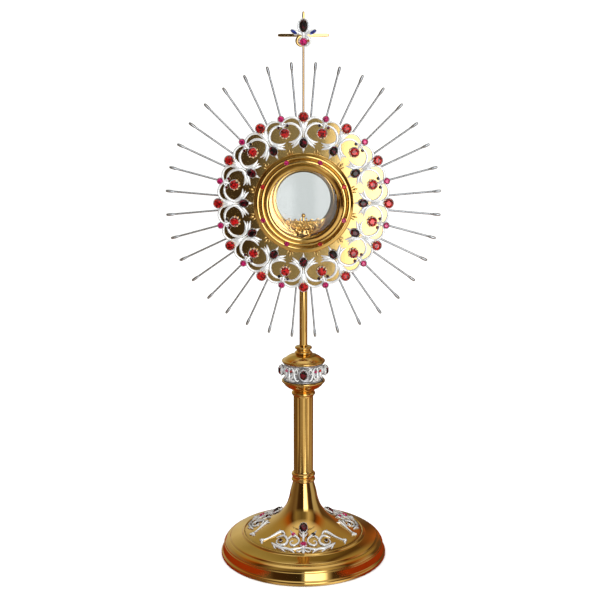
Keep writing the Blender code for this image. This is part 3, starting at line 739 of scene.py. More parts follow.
stemTurnings = [
    ("lowerCollar", "lower_collar", [
        (3.2, 10.4), (12, 10.4, 0.4), (13.2, 9.4, 0.6), (13.8, 7.9, 0.9), (13.2, 6.3, 0.6),
        (12.4, 5.6, 0.3), (12.3, 3.9, 0.3), (13.3, 3.2, 0.5), (13.8, 1.9, 0.8), (13.2, 0.6, 0.5),
        (12.2, 0, 0.2), (3.2, 0)]),
    ("columnCollar", "column_collar", [
        (3.2, 9.2), (10.8, 9.2, 0.2), (11.4, 8.6, 0.3), (12.4, 8.3, 0.4), (13.7, 6.4, 1.2),
        (12.9, 4.6, 0.6), (12, 4.3, 0.2), (12, 3.4, 0.2), (3.2, 3.4)]),
    ("knopCup", "knop_cup", [
        (3.2, 12.2), (24, 12.2, 0.3), (24.5, 11.5, 0.5), (24.4, 10.2, 0.5), (23, 9.2, 0.4),
        (22.4, 8.2, 0.2), (20.8, 6), (18.4, 4), (15.4, 2.4), (14.2, 2.2, 0.3), (13.6, 1.2, 0.3),
        (12.2, 0.9, 0.3), (11.8, 0, 0.2), (3.2, 0)]),
    ("knopDome", "knop_dome", [
        (3.2, 9.7), (9.2, 9.7, 0.3), (9.8, 9.3, 0.2), (12.6, 8.9), (15.6, 7.9), (18.6, 6.2), (20.8, 4.4),
        (21.8, 3.2, 0.3), (22.2, 2.9, 0.2), (23.8, 2.7, 0.4), (24.5, 1.8, 0.6), (24.2, 0.6, 0.4),
        (23.4, 0, 0.3), (3.2, 0)]),
    ("neckCollar", "neck_collar", [
        (3.2, 8.2), (8.6, 8.2, 0.3), (9.9, 7.1, 0.8), (9.5, 5.7, 0.5), (7.8, 4.9, 0.4), (7.5, 3.4, 0.5),
        (8.6, 2.6, 0.4), (9.9, 1.5, 0.7), (9.5, 0.1, 0.4), (8.8, 0), (3.2, 0)]),
    ("upperTube", "upper_tube", [(4.5, 106.7, 0.2), (4.5, 0, 0.2), (2.9, 0), (2.9, 106.7)]),
    ("headSocket", "head_socket", [
        (0, 43.6), (5.4, 43.6, 0.5), (6, 42.8), (6, 2, 0.3), (6.4, 1.8, 0.3), (6.5, 1.2, 0.4),
        (6.2, 0.3, 0.4), (5.6, 0), (4.8, 0), (4.8, 30.3), (2.8, 30.3), (2.8, 37.5), (0, 37.5)]),
]
for name, node, profile in stemTurnings:
    handOver(turn(name, profile, onStem(node), 80, profile[0][0] > 0), giltStem, [node])


def pullIn(piece, count, every, phase, pull, isFree, level=0):
    # draws one corner in every few towards the axis
    pick("DESELECT")
    editing(False)
    for corner in piece.data.vertices:
        turned = Vector(corner.co[:2]).angle_signed(Vector((0, 1))) / (2 * pi) * count
        corner.select = isFree(corner.co) and round(turned) % every == phase
    editing()
    bpy.ops.transform.resize(value=(pull, pull, 1), center_override=(0, 0, level))


column = {"flutes": 20, "sides": 6, "radius": 11.2, "depth": 0.5, "stop": (0.5, 1.6), "neck": 3.6}


def makeColumn():
    low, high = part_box("fluted_column")
    high.z += column["neck"] * mm
    length = (high.z - low.z) / mm
    sides = column["flutes"] * column["sides"]
    bpy.ops.mesh.primitive_cylinder_add(vertices=sides, radius=column["radius"] * mm, depth=length * mm,
                                        location=(0, 0, (low.z + high.z) / 2))
    piece = bpy.context.object
    piece.name = "flutedColumn"
    bpy.ops.object.transform_apply(location=True, rotation=True, scale=True)
    editing()
    first, second = column["stop"]
    for cut in (first, second, length - second, length - first):
        pick()
        bpy.ops.mesh.bisect(plane_co=(0, 0, low.z + cut * mm), plane_no=(0, 0, 1))
    bpy.ops.mesh.select_mode(type="VERT")
    inside = (low.z + 1.1 * first * mm, high.z - 1.1 * first * mm)
    for phase in range(1, column["sides"]):
        pull = 1 - column["depth"] * sin(pi * phase / column["sides"]) / column["radius"]
        pullIn(piece, sides, column["sides"], phase, pull, lambda co: inside[0] < co.z < inside[1], low.z)
    editing(False)
    return piece


handOver(makeColumn(), giltStem, ["fluted_column"], crease=20)
print("stem turned")

knopBand = {
    "profile": [(18, 19.7), (22.6, 19.7, 0.3), (22.9, 19, 0.4), (22.5, 18.2, 0.3), (21.2, 17.9, 0.2),
                (21, 17), (21, 2.6), (21.2, 1.8, 0.2), (22.5, 1.5, 0.3), (22.9, 0.7, 0.4), (22.6, 0, 0.3),
                (18, 0)],
    "radius": 21,
    "lines": [
        [(14, 3.6, 1.2), (19, 3, 2.2), (24.5, 5.2, 2.6), (27.6, 9.6, 2.6), (25.6, 14.2, 2.4),
         (20.6, 15.8, 2.2), (16.6, 13.6, 1.8), (17, 10.4, 1.2)],
        [(45, 5.6, 2.2), (39.6, 4.4, 2.4), (33.6, 6.4, 2.4), (30.8, 11, 2.4), (32.6, 15.8, 2.2),
         (38, 17, 1.8), (41, 14.8, 0.8)],
        [(26, 2.6, 0.8), (31, 2.6, 2.2), (37, 2.4, 2.4), (45, 3.2, 2.4)],
        [(21, 9.6, 0.6), (22.4, 10.8, 1.8), (26, 11, 2)],
        [(12.6, 16.4, 0.8), (17.6, 17.4, 1.6), (24.4, 16.6, 1.8), (29, 17.2, 1)],
        [(42.6, 9.4, 0.6), (40.2, 8.2, 1.6), (37.2, 9, 1.6), (36.4, 11, 1)],
    ],
    "spine": [(45, 2, 2.4), (45, 6.6, 3.6), (45, 11.4, 2.4), (45, 17.4, 2.6)],
    "smallStone": {
        "beside": 9, "middle": 13, "lift": 0.6, "half": (1.8, 1.8), "height": 3, "claws": 4,
        "clawSize": 0.4},
}


def onBand(angle, height, lift):
    turned = radians(angle)
    radius = knopBand["radius"] + lift
    return Vector((radius * sin(turned), -radius * cos(turned), height + bottomOf("knop_band"))) * mm


def bandFrame(angle, height, lift):
    turned = turnedBy(radians(angle)) @ turnedBy(pi / 2, "X")
    return Matrix.Translation(onBand(angle, height, lift)) @ turned


def makeKnopBand():
    lines = mirrored(knopBand["lines"]) + [knopBand["spine"]]
    quarter = scrollWork("bandScrolls", lines, lambda a, z, width: onBand(a, z, 0.35 * width))
    tray = {"silver": [], "sunk": [turn("bandRing", knopBand["profile"], onStem("knop_band"), 96)]}
    for index in range(4):
        tray["silver"].append(copyOf(quarter, "quarter", turnedBy(pi / 2 * index)))
        small = knopBand["smallStone"]
        for side, stone in ((-1, "rose"), (1, "ruby")):
            angle = 90 * index + 45 + side * small["beside"]
            setStone({**small, "stone": stone}, bandFrame(angle, small["middle"], small["lift"]), tray)
    discard(quarter)
    handTray("knopBand", tray, ["knop_band"])


knopSetting = {
    "cup": [(0, 0.2), (5, 0.2, 0.2), (5.3, -0.4, 0.4), (4.2, -2.2), (4.6, -3, 0.3), (0, -3)],
    "stretch": 1.25, "middle": 10.7, "lift": 3.3, "beads": 18, "beadRing": (5, 6.3, 0.3),
    "beadSize": 0.62,
    "stone": {"half": (4.2, 5.4), "height": 4.6, "claws": 4, "clawSize": 0.8, "stone": "garnet"},
}


def makeKnopSetting(index):
    spot = bandFrame(90 * index, knopSetting["middle"], knopSetting["lift"])
    oval = Matrix.Diagonal((1, knopSetting["stretch"], 1, 1))
    tray = {"silver": [turn("settingCup", knopSetting["cup"], spot @ oval, 28, False)]}
    setStone(knopSetting["stone"], spot, tray)
    wide, tall, lift = knopSetting["beadRing"]
    for bead in range(knopSetting["beads"]):
        turned = 2 * pi * bead / knopSetting["beads"]
        place = spot @ shift(wide * cos(turned), tall * sin(turned), lift)
        size = Matrix.Scale(knopSetting["beadSize"] * mm, 4)
        tray["silver"].append(copyOf(clawBead, "bead", place @ size))
    handTray(f"knopSetting{index + 1}", tray, [f"knop_setting_{index + 1}"])


makeKnopBand()
for index in range(4):
    makeKnopSetting(index)
print("knop set with its stones")


# the head: drum, halo, plate, bezel, glass

drumShell = [(41, 37.6, 0.3), (41, 32.4), (51.6, 32.4, 0.3), (52, 31.9, 0.3), (52, 30.6, 0.2),
             (51.6, 30.4), (41.6, 30.4, 0.6), (41, 29.6), (41, 5), (41.5, 4.4, 0.5), (41.5, 2.6, 0.5),
             (41, 2), (41, 0.2, 0.3), (38.2, 0, 0.2), (38, 0.4), (38, 37.6, 0.2)]
drum = turn("capsuleDrum", drumShell, onHead("capsule_drum"), 128)
hingeX, hingeY = 47.6, 26.8
knuckleHalf = 4.7
catchX = -49.5
midHeight = headHeight / mm


def upright(x, y):
    return shift(x, y, midHeight)


def knuckle(name, low, high):
    profile = [(2.6, high, 0.2), (2.8, high - 0.3), (2.8, low + 0.3), (2.6, low, 0.2), (1.4, low),
               (1.4, high)]
    return turn(name, profile, upright(hingeX, hingeY), 28)


below, above = midHeight - knuckleHalf, midHeight + knuckleHalf
hingeArm = block("hingeArm", (39.6, 15, below), (49.4, 23.7, above), 0.5)
hingePost = block("hingePost", (45.8, 20, below), (49.4, 25.2, above), 0.4)
catchArm = block("catchArm", (catchX, 12.0, midHeight - 2.5), (-39.6, 20.0, midHeight + 2.5), 0.5)
catchAxis = shift(catchX, 0, midHeight) @ turnedBy(-pi / 2, "X")
catchProfile = [(1.5, 29.3), (2.7, 29.3, 0.2), (3, 28.9), (3, 21.2, 0.2), (3.3, 20.6, 0.3),
                (3.3, 11.6, 0.4), (2.6, 11, 0.3), (0, 11), (0, 21.5), (1.5, 21.5)]
catchPost = turn("catchPost", catchProfile, catchAxis, 28, False)
drumKnuckle = knuckle("drumKnuckle", -knuckleHalf, knuckleHalf)
drum = joinUp("capsuleDrum", [drum, hingeArm, hingePost, catchArm, catchPost, drumKnuckle])
handOver(drum, giltHead, ["capsule_drum"])

halo = {"thick": 2.5, "rays": 36}
haloProfile = [(41.3, 2.5, 0.2), (41.3, 0, 0.2), (77, 0), (77.6, 0.3, 0.2), (79.8, 0.4, 0.3),
               (80, 1.2), (79.8, 2.2, 0.3), (77.4, 2.5, 0.2)]
handOver(turn("haloRing", haloProfile, onHead("ray_halo"), 144), silverRay, ["ray_halo"])


def makeRays():
    # a round rod with a small socket at its root and a flattened spear at its tip
    low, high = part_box("ray_halo")
    tip = (high.z - headHeight) / mm / cos(radians(5))
    profile = [(0, 78.5), (1.3, 78.5, 0.2), (1.3, 82.4, 0.3), (1.08, 83.4, 0.2), (1.05, 100),
               (1.05, tip - 12), (1.1, tip - 9), (1.5, tip - 7.2), (1.6, tip - 4.5), (1.5, tip - 1.8),
               (1.1, tip - 0.5), (0, tip)]
    ray = turn("ray", profile, turnedBy(-pi / 2, "X"), 12, False)
    middle = (backOf("ray_halo") + halo["thick"] / 2) * mm

    def matrixFor(index):
        around = turnedBy(2 * pi * (index + 0.5) / halo["rays"])
        return headFrame @ Matrix.Translation((0, 0, middle)) @ around

    rays = ringOf(ray, "haloRays", halo["rays"], matrixFor)
    discard(ray)
    return rays


handOver(makeRays(), silverRay)

plate = {"lobes": 12, "perLobe": 14, "inner": 41.3, "outer": 92.4, "dip": 9.4, "thick": 1.5}


def makePlate():
    count = plate["lobes"] * plate["perLobe"]
    bpy.ops.mesh.primitive_circle_add(vertices=count, radius=plate["inner"] * mm)
    piece = bpy.context.object
    piece.name = "rosettePlate"
    editing()
    bpy.ops.mesh.select_mode(type="VERT")
    pick()
    bpy.ops.mesh.extrude_region_move()
    grow = plate["outer"] / plate["inner"]
    bpy.ops.transform.resize(value=(grow, grow, 1), center_override=(0, 0, 0))
    edge = (plate["inner"] + 1) * mm
    for phase in range(plate["perLobe"]):
        share = 2 * phase / plate["perLobe"] - 1
        pull = 1 - plate["dip"] * share ** 4 / plate["outer"]
        pullIn(piece, count, plate["perLobe"], phase, pull, lambda co: co.length > edge)
    pick()
    bpy.ops.mesh.normals_make_consistent(inside=False)
    editing(False)
    thick = piece.modifiers.new("thickness", "SOLIDIFY")
    thick.thickness = plate["thick"] * mm
    thick.offset = 0
    applyLast(piece)
    softEdges(piece, 0.25)
    piece.data.transform(onHead("rosette_plate") @ shift(0, 0, plate["thick"] / 2))
    return piece


handOver(makePlate(), giltHead, ["rosette_plate"], crease=20)

bezelProfile = [(36.6, 9.2, 0.2), (37.2, 10.1, 0.3), (38.2, 10.5), (39.2, 10.7), (39.9, 10.3, 0.3),
                (40.1, 7.6, 0.2), (43.3, 6.2, 0.2), (43.4, 7.2, 0.12), (44.5, 7.4), (45.6, 7.2, 0.12),
                (45.7, 5.2, 0.2), (47.1, 4.4), (48.5, 4.9, 0.2), (48.6, 5.8, 0.12), (49.7, 6),
                (50.8, 5.8, 0.12), (50.9, 3.9, 0.2), (53.4, 3, 0.4), (54.2, 2.2, 0.4), (54.3, 0.3, 0.2),
                (53.2, 0), (41.3, 0), (41.3, 4.4), (36.6, 4.4, 0.2)]
frontBezel = turn("frontBezel", bezelProfile, onHead("front_bezel"), 144)
handOver(frontBezel, giltHead, ["front_bezel"], crease=30)

bezelStone = {
    "count": 8, "radius": 47.1, "lift": 5.7, "half": (2.7, 2.7), "height": 3.6, "claws": 4,
    "clawSize": 0.45, "metal": "gold"}


def makeBezelStones():
    tray = {}
    radius = bezelStone["radius"]
    for index in range(bezelStone["count"]):
        turned = radians(360 / bezelStone["count"] * (index + 0.5))
        spot = onHead("front_bezel") @ shift(radius * cos(turned), radius * sin(turned), bezelStone["lift"])
        setStone({**bezelStone, "stone": "ruby" if index % 3 == 0 else "rose"}, spot, tray)
    handTray("bezelStones", tray)


makeBezelStones()

# name, node, profile, closed, finish, slot, body
glazing = [
    ("frontGlass", "front_glass", [(0, 1.8), (40.6, 1.8, 0.3), (41, 1.4), (41, 0.4), (40.6, 0, 0.3), (0, 0)],
     False, frontGlass, clear, "root"),
    ("rearGlass", "rear_glass", [(0, 1.6), (29.6, 1.6, 0.1), (30.4, 1.2, 0.1), (33, 1.2, 0.3), (33.4, 0.9),
                                 (33.4, 0.4), (33, 0, 0.3), (0, 0)], False, rearGlass, clear, "rear_door"),
    ("frontGlassRing", "front_glass_ring", [(38.2, 1.4, 0.2), (38.2, 0, 0.2), (41, 0, 0.2), (41, 1.4, 0.2)],
     True, giltHead, gilt, "root"),
    ("rearGlassRing", "rear_glass_ring", [(30.6, 1, 0.2), (30.6, 0, 0.2), (33.4, 0, 0.2), (33.4, 1, 0.2)],
     True, giltHead, gilt, "rear_door"),
]
for name, node, profile, closed, finish, slotName, body in glazing:
    handOver(turn(name, profile, onHead(node), 96, closed), finish, [node], body)
print("head assembled")


# the rosette: one lobe modelled at the top, copied round

lobe = {
    "sides": [
        [(0.4, 89, 2.8), (3, 90.7, 2.5), (6.4, 91.9, 2.6), (10, 92.2, 2.7), (13.6, 91.2, 2.7),
         (17.2, 88.5, 2.8), (19.8, 84.2, 3), (20.4, 79.4, 3.3), (19.2, 75, 2.4)],
        [(0.8, 84.9, 1.4), (3.6, 86, 2.2), (7.4, 86.2, 2.5), (12, 84.4, 2.7), (15.6, 80.4, 3),
         (17.2, 75.8, 3), (16.6, 71.2, 2.6), (14.2, 67.6, 2.2), (11.4, 64.6, 1.8)],
        [(16.4, 72.4, 2), (13.6, 69, 3), (9.6, 66.9, 3.2), (5.2, 66.6, 2.2), (1.8, 67.4, 0.7)],
        [(14.4, 68, 2.4), (10.8, 64.2, 3.2), (6.9, 62.3, 2.8), (3.8, 60.4, 0.8)],
        [(9.6, 65.6, 1.8), (6.4, 64.6, 1.8), (3.4, 63.9, 0.6)],
        [(1.4, 88.2, 1.6), (3.2, 86.8, 1.4), (4.2, 85.2, 1.4)],
        [(18, 84.8, 1.2), (18.9, 80.8, 2), (18.4, 77.2, 2)],
    ],
    "centre": [[(0, 91, 1.8), (0, 88.4, 3.4), (0, 85.4, 2.8), (0, 82, 2)]],
    "junction": [
        [(0, 88.6, 2.6), (0, 84.6, 3.2), (0, 80.4, 3), (0, 75.6, 1.8), (0, 71, 1)],
        [(0, 61, 3.4), (0, 57.8, 2.8), (0, 54.4, 0.6)],
        [(-6.4, 91, 0.5), (-3.4, 90.4, 1.4), (0, 89, 2), (3.4, 90.4, 1.4), (6.4, 91, 0.5)],
    ],
    "goldTips": [
        [(0, 60.6, 0.6), (0, 58.2, 2.8), (0, 56, 2), (0, 54.4, 0.5)],
        [(3.4, 58.4, 0.5), (3, 56.4, 1.8), (2.2, 54.4, 1.2)],
        [(-3.4, 58.4, 0.5), (-3, 56.4, 1.8), (-2.2, 54.4, 1.2)],
    ],
    "rise": 0.55,
}
# 1 at the junction of two lobes, then x, y and lift in the lobe's own frame
lobeStones = [
    (0, 0, 77.2, 1, {
        "half": (5.1, 5.1), "height": 5.2, "claws": 5, "clawSize": 1.15, "clawArc": (175, 365),
        "stone": "ruby", "clawMetal": "warmGold"}),
    (0, 0, 92.9, 1.2, {"half": (3.3, 3.3), "height": 4.2, "claws": 4, "clawSize": 0.6, "stone": "rose"}),
    (0, 4.9, 84.6, 1, {"half": (1.6, 1.6), "height": 2.8, "stone": "garnet"}),
    (0, -4.9, 84.6, 1, {"half": (1.6, 1.6), "height": 2.8, "stone": "garnet"}),
    (1, 0, 92, 1.2, {
        "half": (5.1, 5.1), "height": 5.4, "claws": 3, "clawSize": 1, "clawArc": (210, 330),
        "stone": "ruby", "clawMetal": "warmGold"}),
    (1, 0, 64.6, 1, {"half": (4.4, 5.3), "height": 5, "claws": 4, "clawSize": 0.6, "stone": "garnet"}),
]


def makeLobe():
    halfLobe = turnedBy(-pi / plate["lobes"])
    tray = {"silver": [flatWork("lobeScrolls", mirrored(lobe["sides"]) + lobe["centre"], lobe["rise"]),
                       flatWork("junctionScrolls", lobe["junction"], lobe["rise"], halfLobe)],
            "gold": [flatWork("goldTips", lobe["goldTips"], lobe["rise"])]}
    for atJunction, x, y, lift, sort in lobeStones:
        setStone(sort, (halfLobe if atJunction else Matrix()) @ shift(x, y, lift), tray)
    return joinTray("lobeMaster", tray)


lobeMaster = makeLobe()
for index in range(plate["lobes"]):
    around = turnedBy(-2 * pi * (index + 0.5) / plate["lobes"])
    place = onHead("filigree_lobe_01") @ around
    handCopies(f"filigreeLobe{index + 1:02d}", lobeMaster, place, f"filigree_lobe_{index + 1:02d}")
discard(*lobeMaster.values())
print("rosette set")


# the rear door, its hinge, its catch, and the screws

doorProfile = [(28.9, 1.6, 0.1), (28.9, 0.9, 0.2), (30.2, 0.2, 0.4), (31.8, 0), (42.6, 0, 0.4),
               (43.4, 0.6, 0.4), (44, 1.2, 0.3), (44, 4.8, 0.2), (43.8, 5), (33.8, 5, 0.2), (33.8, 1.6)]


def makeDoor():
    doorBack = -29.3
    frameRing = turn("rearDoorFrame", doorProfile, headFrame @ shift(0, 0, doorBack), 128)
    parts = [frameRing]
    for low, high in ((-12.0, -5.0), (5.0, 12.0)):
        parts.append(block("hingeTab", (40.0, 25.4, midHeight + low), (46.0, 28.2, midHeight + high), 0.3))
        parts.append(knuckle("doorKnuckle", low, high))
    return joinUp("rearDoorFrame", parts)


handOver(makeDoor(), giltHead, ["rear_door_frame"], "rear_door")
pinProfile = [(0, 14), (1.4, 13.9, 0.4), (2.2, 13.3, 0.4), (2.2, 12.6, 0.2), (1.1, 12.3, 0.1),
              (1.1, -13, 0.3), (0.8, -13.5), (0, -13.5)]
handOver(turn("hingePin", pinProfile, upright(hingeX, hingeY), 24, False), brightSteel, ["hinge_pin"])
knobProfile = [(0, 9), (1.2, 9), (1.2, 5.8, 0.5), (2, 4.9, 0.4), (2.5, 3.4, 0.7), (2.4, 1.6, 0.7),
               (1.4, 0.2, 0.6), (0, 0)]
knobPlace = headFrame @ shift(-35.5, 0, -36.0)
handOver(turn("doorKnob", knobProfile, knobPlace, 28, False), giltCast, ["door_knob"], "rear_door")


def slotted(piece, centre, width=0.7, deep=0.7):
    # a driver's slot across the head of a screw that is driven in from behind
    bpy.ops.mesh.primitive_cube_add(size=1)
    cutter = bpy.context.object
    facing = Vector((0, 1, 0)).to_track_quat("Z", "Y").to_matrix().to_4x4()
    cutter.data.transform(Matrix.Translation(centre) @ facing @ turnedBy(0.6)
                          @ Matrix.Diagonal((12 * mm, width * mm, 2 * deep * mm, 1)))
    cut = piece.modifiers.new("slot", "BOOLEAN")
    cut.object = cutter
    cut.solver = "EXACT"
    applyLast(piece)
    discard(cutter)
    return piece


screwHead = [(0, 11.9), (1.2, 11.9, 0.2), (1.3, 11.6), (1.3, 2, 0.1), (2.8, 2, 0.2), (3, 1.7),
             (3, 1, 0.4), (2.2, 0.3, 0.5), (0, 0)]
for index in range(4):
    node = f"head_screw_{index + 1}"
    low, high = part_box(node)
    middle = (low + high) / 2
    place = Matrix.Translation((middle.x, high.y, middle.z)) @ turnedBy(pi / 2, "X")
    screw = turn(f"headScrew{index + 1}", screwHead, place, 28, False)
    handOver(slotted(screw, (middle.x, high.y, middle.z)), brightSteel, [node])

leverLoop = arc(3.0, 180, 360, 15) + arc(2.0, 0, 180, 11, (0, 8.0))
leverHole = arc(1.45, 0, 345, 24)
leverPlace = shift(catchX, 29.6, midHeight) @ turnedBy(-pi / 2, "X")
lever = flatPiece("catchLever", [leverLoop, leverHole], 0, 1.8, leverPlace, 0.3)
handOver(lever, giltCast, ["catch_lever"], "catch")
screwTop = 33.4
catchScrew = [(0, screwTop), (1.6, 33.3, 0.4), (2.6, 32.6, 0.3), (2.6, 31.7, 0.1), (1.2, 31.7),
              (1.2, 22, 0.2), (0, 22)]
screw = turn("catchScrew", catchScrew, catchAxis, 28, False)
screw = slotted(screw, (catchX * mm, screwTop * mm, headHeight), 0.6, 0.5)
handOver(screw, brightSteel, ["catch_screw"])
print("door, hinge and catch fitted")


# the lunula

railLow = bottomOf("lunula_rail")
railLoop = [(-6, 0), (6, 0), (6, 4.7), (2.6, 4.7), (2.6, 3.7), (4.4, 3.7), (4.4, 1.3), (-4.4, 1.3),
            (-4.4, 3.7), (-2.6, 3.7), (-2.6, 4.7), (-6, 4.7)]
rail = flatPiece("lunulaRail", [railLoop], -22.3, 4.7, headFrame @ shift(0, railLow - midHeight, 0), 0.15)
handOver(rail, giltCast, ["lunula_rail"])

crescent = {
    "radius": 24.6, "centre": -11.4,
    "lines": [
        [(23.2, -18, 1), (21.2, -23, 1.6), (18, -27.4, 1.7), (13.6, -31.2, 1.8), (8.4, -33.8, 1.7)],
        [(0.4, -21.2, 1.2), (6, -21.4, 1.5), (12, -20.9, 1.5), (18, -19.6, 1.4), (22.8, -17.6, 0.7)],
        [(2, -31.6, 0.8), (5.4, -32, 1.6), (8.2, -29.4, 1.8), (7.2, -25.6, 1.7), (3.8, -24.6, 1.5),
         (2.4, -27, 1.2), (4.2, -28.6, 0.7)],
        [(9.4, -31.4, 0.8), (13, -30, 1.6), (14.6, -26.4, 1.7), (12.6, -23.4, 1.6), (9.6, -24.6, 1.3),
         (10.4, -27.4, 0.7)],
        [(15.8, -27.6, 0.8), (18.6, -25, 1.5), (19, -21.8, 1.5), (16.6, -20.6, 1.3), (15.2, -22.8, 0.6)],
        [(1.6, -22, 1.6), (3.6, -18.8, 1.5), (2, -17, 0.6)],
        [(6.6, -21.4, 1.4), (8.6, -18.8, 1.4), (10.6, -19.6, 0.6)],
        [(13.4, -20.8, 1.3), (15.4, -18, 1.3), (17.2, -18.8, 0.5)],
    ],
    "spine": [(0, -21.6, 2), (0, -19.6, 2.6), (0, -17.2, 1.8), (0, -15.4, 1.2)],
    "pearls": {"rows": 5, "first": -20.4, "rowStep": 2.7, "step": 3.1, "radius": 0.95},
}


def crescentLoop(base, inset, top):
    # round below, level at its base, nearly level above
    radius, centre = crescent["radius"] - inset, crescent["centre"]
    side = [(x, y) for x, y in arc(radius, -16, -88, 40, (0, centre)) if y > base]
    right = side + [(side[-1][0], base)]
    return right + [(-x, y) for x, y in reversed(right)] + [(-14.0, top + 0.6), (0, top), (14.0, top + 0.6)]


def makeLunulaFront():
    backing = flatPiece("lunulaBacking", [crescentLoop(-34.0, 0.6, -21.4)], 0.4, 1.0, headFrame, 0.1)
    work = flatWork("lunulaScrolls", mirrored(crescent["lines"]) + [crescent["spine"]], 0.6,
                    headFrame @ shift(0, 0, 0.9))
    bpy.ops.mesh.primitive_uv_sphere_add(segments=20, ring_count=12, radius=2.2 * mm)
    bead = bpy.context.object
    bead.data.transform(headFrame @ shift(0, -14.6, 1.0) @ Matrix.Diagonal((1, 1.05, 1, 1)))
    parts = [work, backing, bead]
    pearls = crescent["pearls"]
    for row in range(pearls["rows"]):
        y = pearls["first"] - pearls["rowStep"] * row
        reach = sqrt(max((crescent["radius"] - 2.0) ** 2 - (y - crescent["centre"]) ** 2, 0))
        count = int(reach / pearls["step"])
        for index in range(-count, count + (row + 1) % 2):
            x = (index + 0.5 * (row % 2)) * pearls["step"]
            spot = headFrame @ shift(x, y, 1.7)
            parts.append(copyOf(clawBead, "pearl", spot @ Matrix.Scale(pearls["radius"] * mm, 4)))
    stemBlocks = [((-7.6, -1.6, 375.0), (7.6, 5.6, 376.2)), ((-2.2, -1.6, railLow + 2.4), (2.2, 5.2, 375.6)),
                  ((-4.0, -6.0, railLow + 1.7), (4.0, 6.0, railLow + 3.3)),
                  ((-6.6, 2.3, 375.8), (-4.5, 5.4, 379.6)), ((4.5, 2.3, 375.8), (6.6, 5.4, 379.6))]
    for low, high in stemBlocks:
        parts.append(block("lunulaBlock", low, high, 0.2))
    return joinUp("lunulaFront", parts)


handOver(makeLunulaFront(), giltCast, ["lunula_front"], "lunula", 45)
lunulaAxle = shift(0, 3.8, 378.0) @ turnedBy(pi / 2, "Y")


def makeJaw():
    spots = ((-9, -23.6), (-4.5, -23.8), (4.5, -23.8), (9, -23.6), (15, -22.2), (-15, -22.2))
    holes = [arc(1.6, 0, 337.5, 16, spot) for spot in spots]
    leaf = flatPiece("lunulaJaw", [crescentLoop(-26.8, 0, -20.8)] + holes, -2.2, -1.2, headFrame, 0.15)
    barrel = turn("jawBarrel", [(1.4, 4.1, 0.2), (1.4, -4.1, 0.2), (1.0, -4.1), (1.0, 4.1)], lunulaAxle, 24)
    web = block("jawWeb", (-4.1, 1.4, 379.0), (4.1, 2.8, 382.0), 0.2)
    return joinUp("lunulaJaw", [leaf, barrel, web])


handOver(makeJaw(), giltCast, ["lunula_jaw"], "jaw")
pin = turn("lunulaPin", [(0, 7.4), (0.7, 7.4, 0.2), (0.7, -7.4, 0.2), (0, -7.4)], lunulaAxle, 20, False)
handOver(pin, brightSteel, ["lunula_pin"], "lunula")
print("lunula made")


# the cross on its rod

rodLow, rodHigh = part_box("cross_rod")
rodDepth = -(rodLow.y + rodHigh.y) / 2 / mm
rodLength = (rodHigh.z - rodLow.z) / mm
rodProfile = [(0, rodLength), (1.15, rodLength, 0.2), (1.15, 6, 0.3), (1.5, 5.2, 0.3),
              (1.5, 0.4, 0.3), (1.1, 0), (0, 0)]
crossRod = turn("crossRod", rodProfile, shift(0, -rodDepth, rodLow.z / mm), 20, False)
handOver(crossRod, giltRose, ["cross_rod"])

cross = {"armHeight": 584, "halfArm": 1.6, "halfPost": 1.35, "halfDepth": 1.1}


def makeCross():
    low, high = (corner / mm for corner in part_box("finial_cross"))
    middle = (-rodDepth, cross["armHeight"])
    bpy.ops.mesh.primitive_cube_add(size=mm, location=(0, middle[0] * mm, middle[1] * mm))
    piece = bpy.context.object
    piece.name = "finialCross"
    piece.scale = (2 * cross["halfPost"], 2 * cross["halfDepth"], 2 * cross["halfArm"])
    bpy.ops.object.transform_apply(location=True, rotation=True, scale=True)
    reach = {
        (1, 0, 0): high.x - cross["halfPost"],
        (-1, 0, 0): high.x - cross["halfPost"],
        (0, 0, 1): high.z - middle[1] - cross["halfArm"],
        (0, 0, -1): middle[1] - cross["halfArm"] - low.z,
    }
    editing()
    bpy.ops.mesh.select_mode(type="FACE")
    for direction, distance in reach.items():
        pick("DESELECT")
        editing(False)
        heading = Vector(direction)
        for face in piece.data.polygons:
            off = face.center - Vector((0, middle[0], middle[1])) * mm
            face.select = face.normal.dot(heading) > 0.9 and off.cross(heading).length < 0.2 * mm
        editing()
        step = heading * distance * mm
        for share, size in ((0.9, 1.0), (0.1, 0.7)):
            bpy.ops.mesh.extrude_region_move(TRANSFORM_OT_translate={"value": step * share})
            bpy.ops.transform.resize(value=[size if not axis else 1 for axis in direction])
    editing(False)
    return softEdges(piece, 0.45, 3, 20)


handOver(makeCross(), giltCast, ["finial_cross"])

finial = {
    "sides": [
        [(0.8, 0.4, 2.4), (4.6, 2.2, 3.4), (9.2, 4.2, 3.6), (12.6, 6.6, 0.8)],
        [(2.4, 2.6, 2), (5.2, 6.6, 2.2), (5.6, 11, 1.8), (4.2, 15, 1.4), (0.6, 17.2, 0.8)],
        [(1.4, -1, 2), (3.8, -3, 2.2), (4.8, -6.4, 1.6), (3.2, -9, 0.8)],
        [(6.4, 1, 1.8), (9, 0.6, 1.4), (11.2, 2, 0.5)],
    ],
    "leaf": [(2.4, -0.8, 2.6), (6, -3.2, 3.4), (6.8, -7, 3.2), (4.6, -10.2, 2.4), (0.6, -11.6, 1.2)],
    "spine": [(0, 7, 2.8), (0, 1.6, 4.4), (0, -3, 3)],
    "stones": [
        (0, 9.5, 0, {"half": (4.3, 6.8), "height": 4.8, "claws": 4, "stone": "garnet"}),
        (0, -6.9, 0, {"half": (4, 4), "height": 4.2, "claws": 4, "stone": "rose"}),
        (-10, 3.4, 62, {"half": (1.7, 3.7), "height": 2.8, "claws": 2, "stone": "sapphire"}),
        (10, 3.2, -62, {"half": (1.7, 3.7), "height": 2.8, "claws": 2, "stone": "sapphire"}),
    ],
}


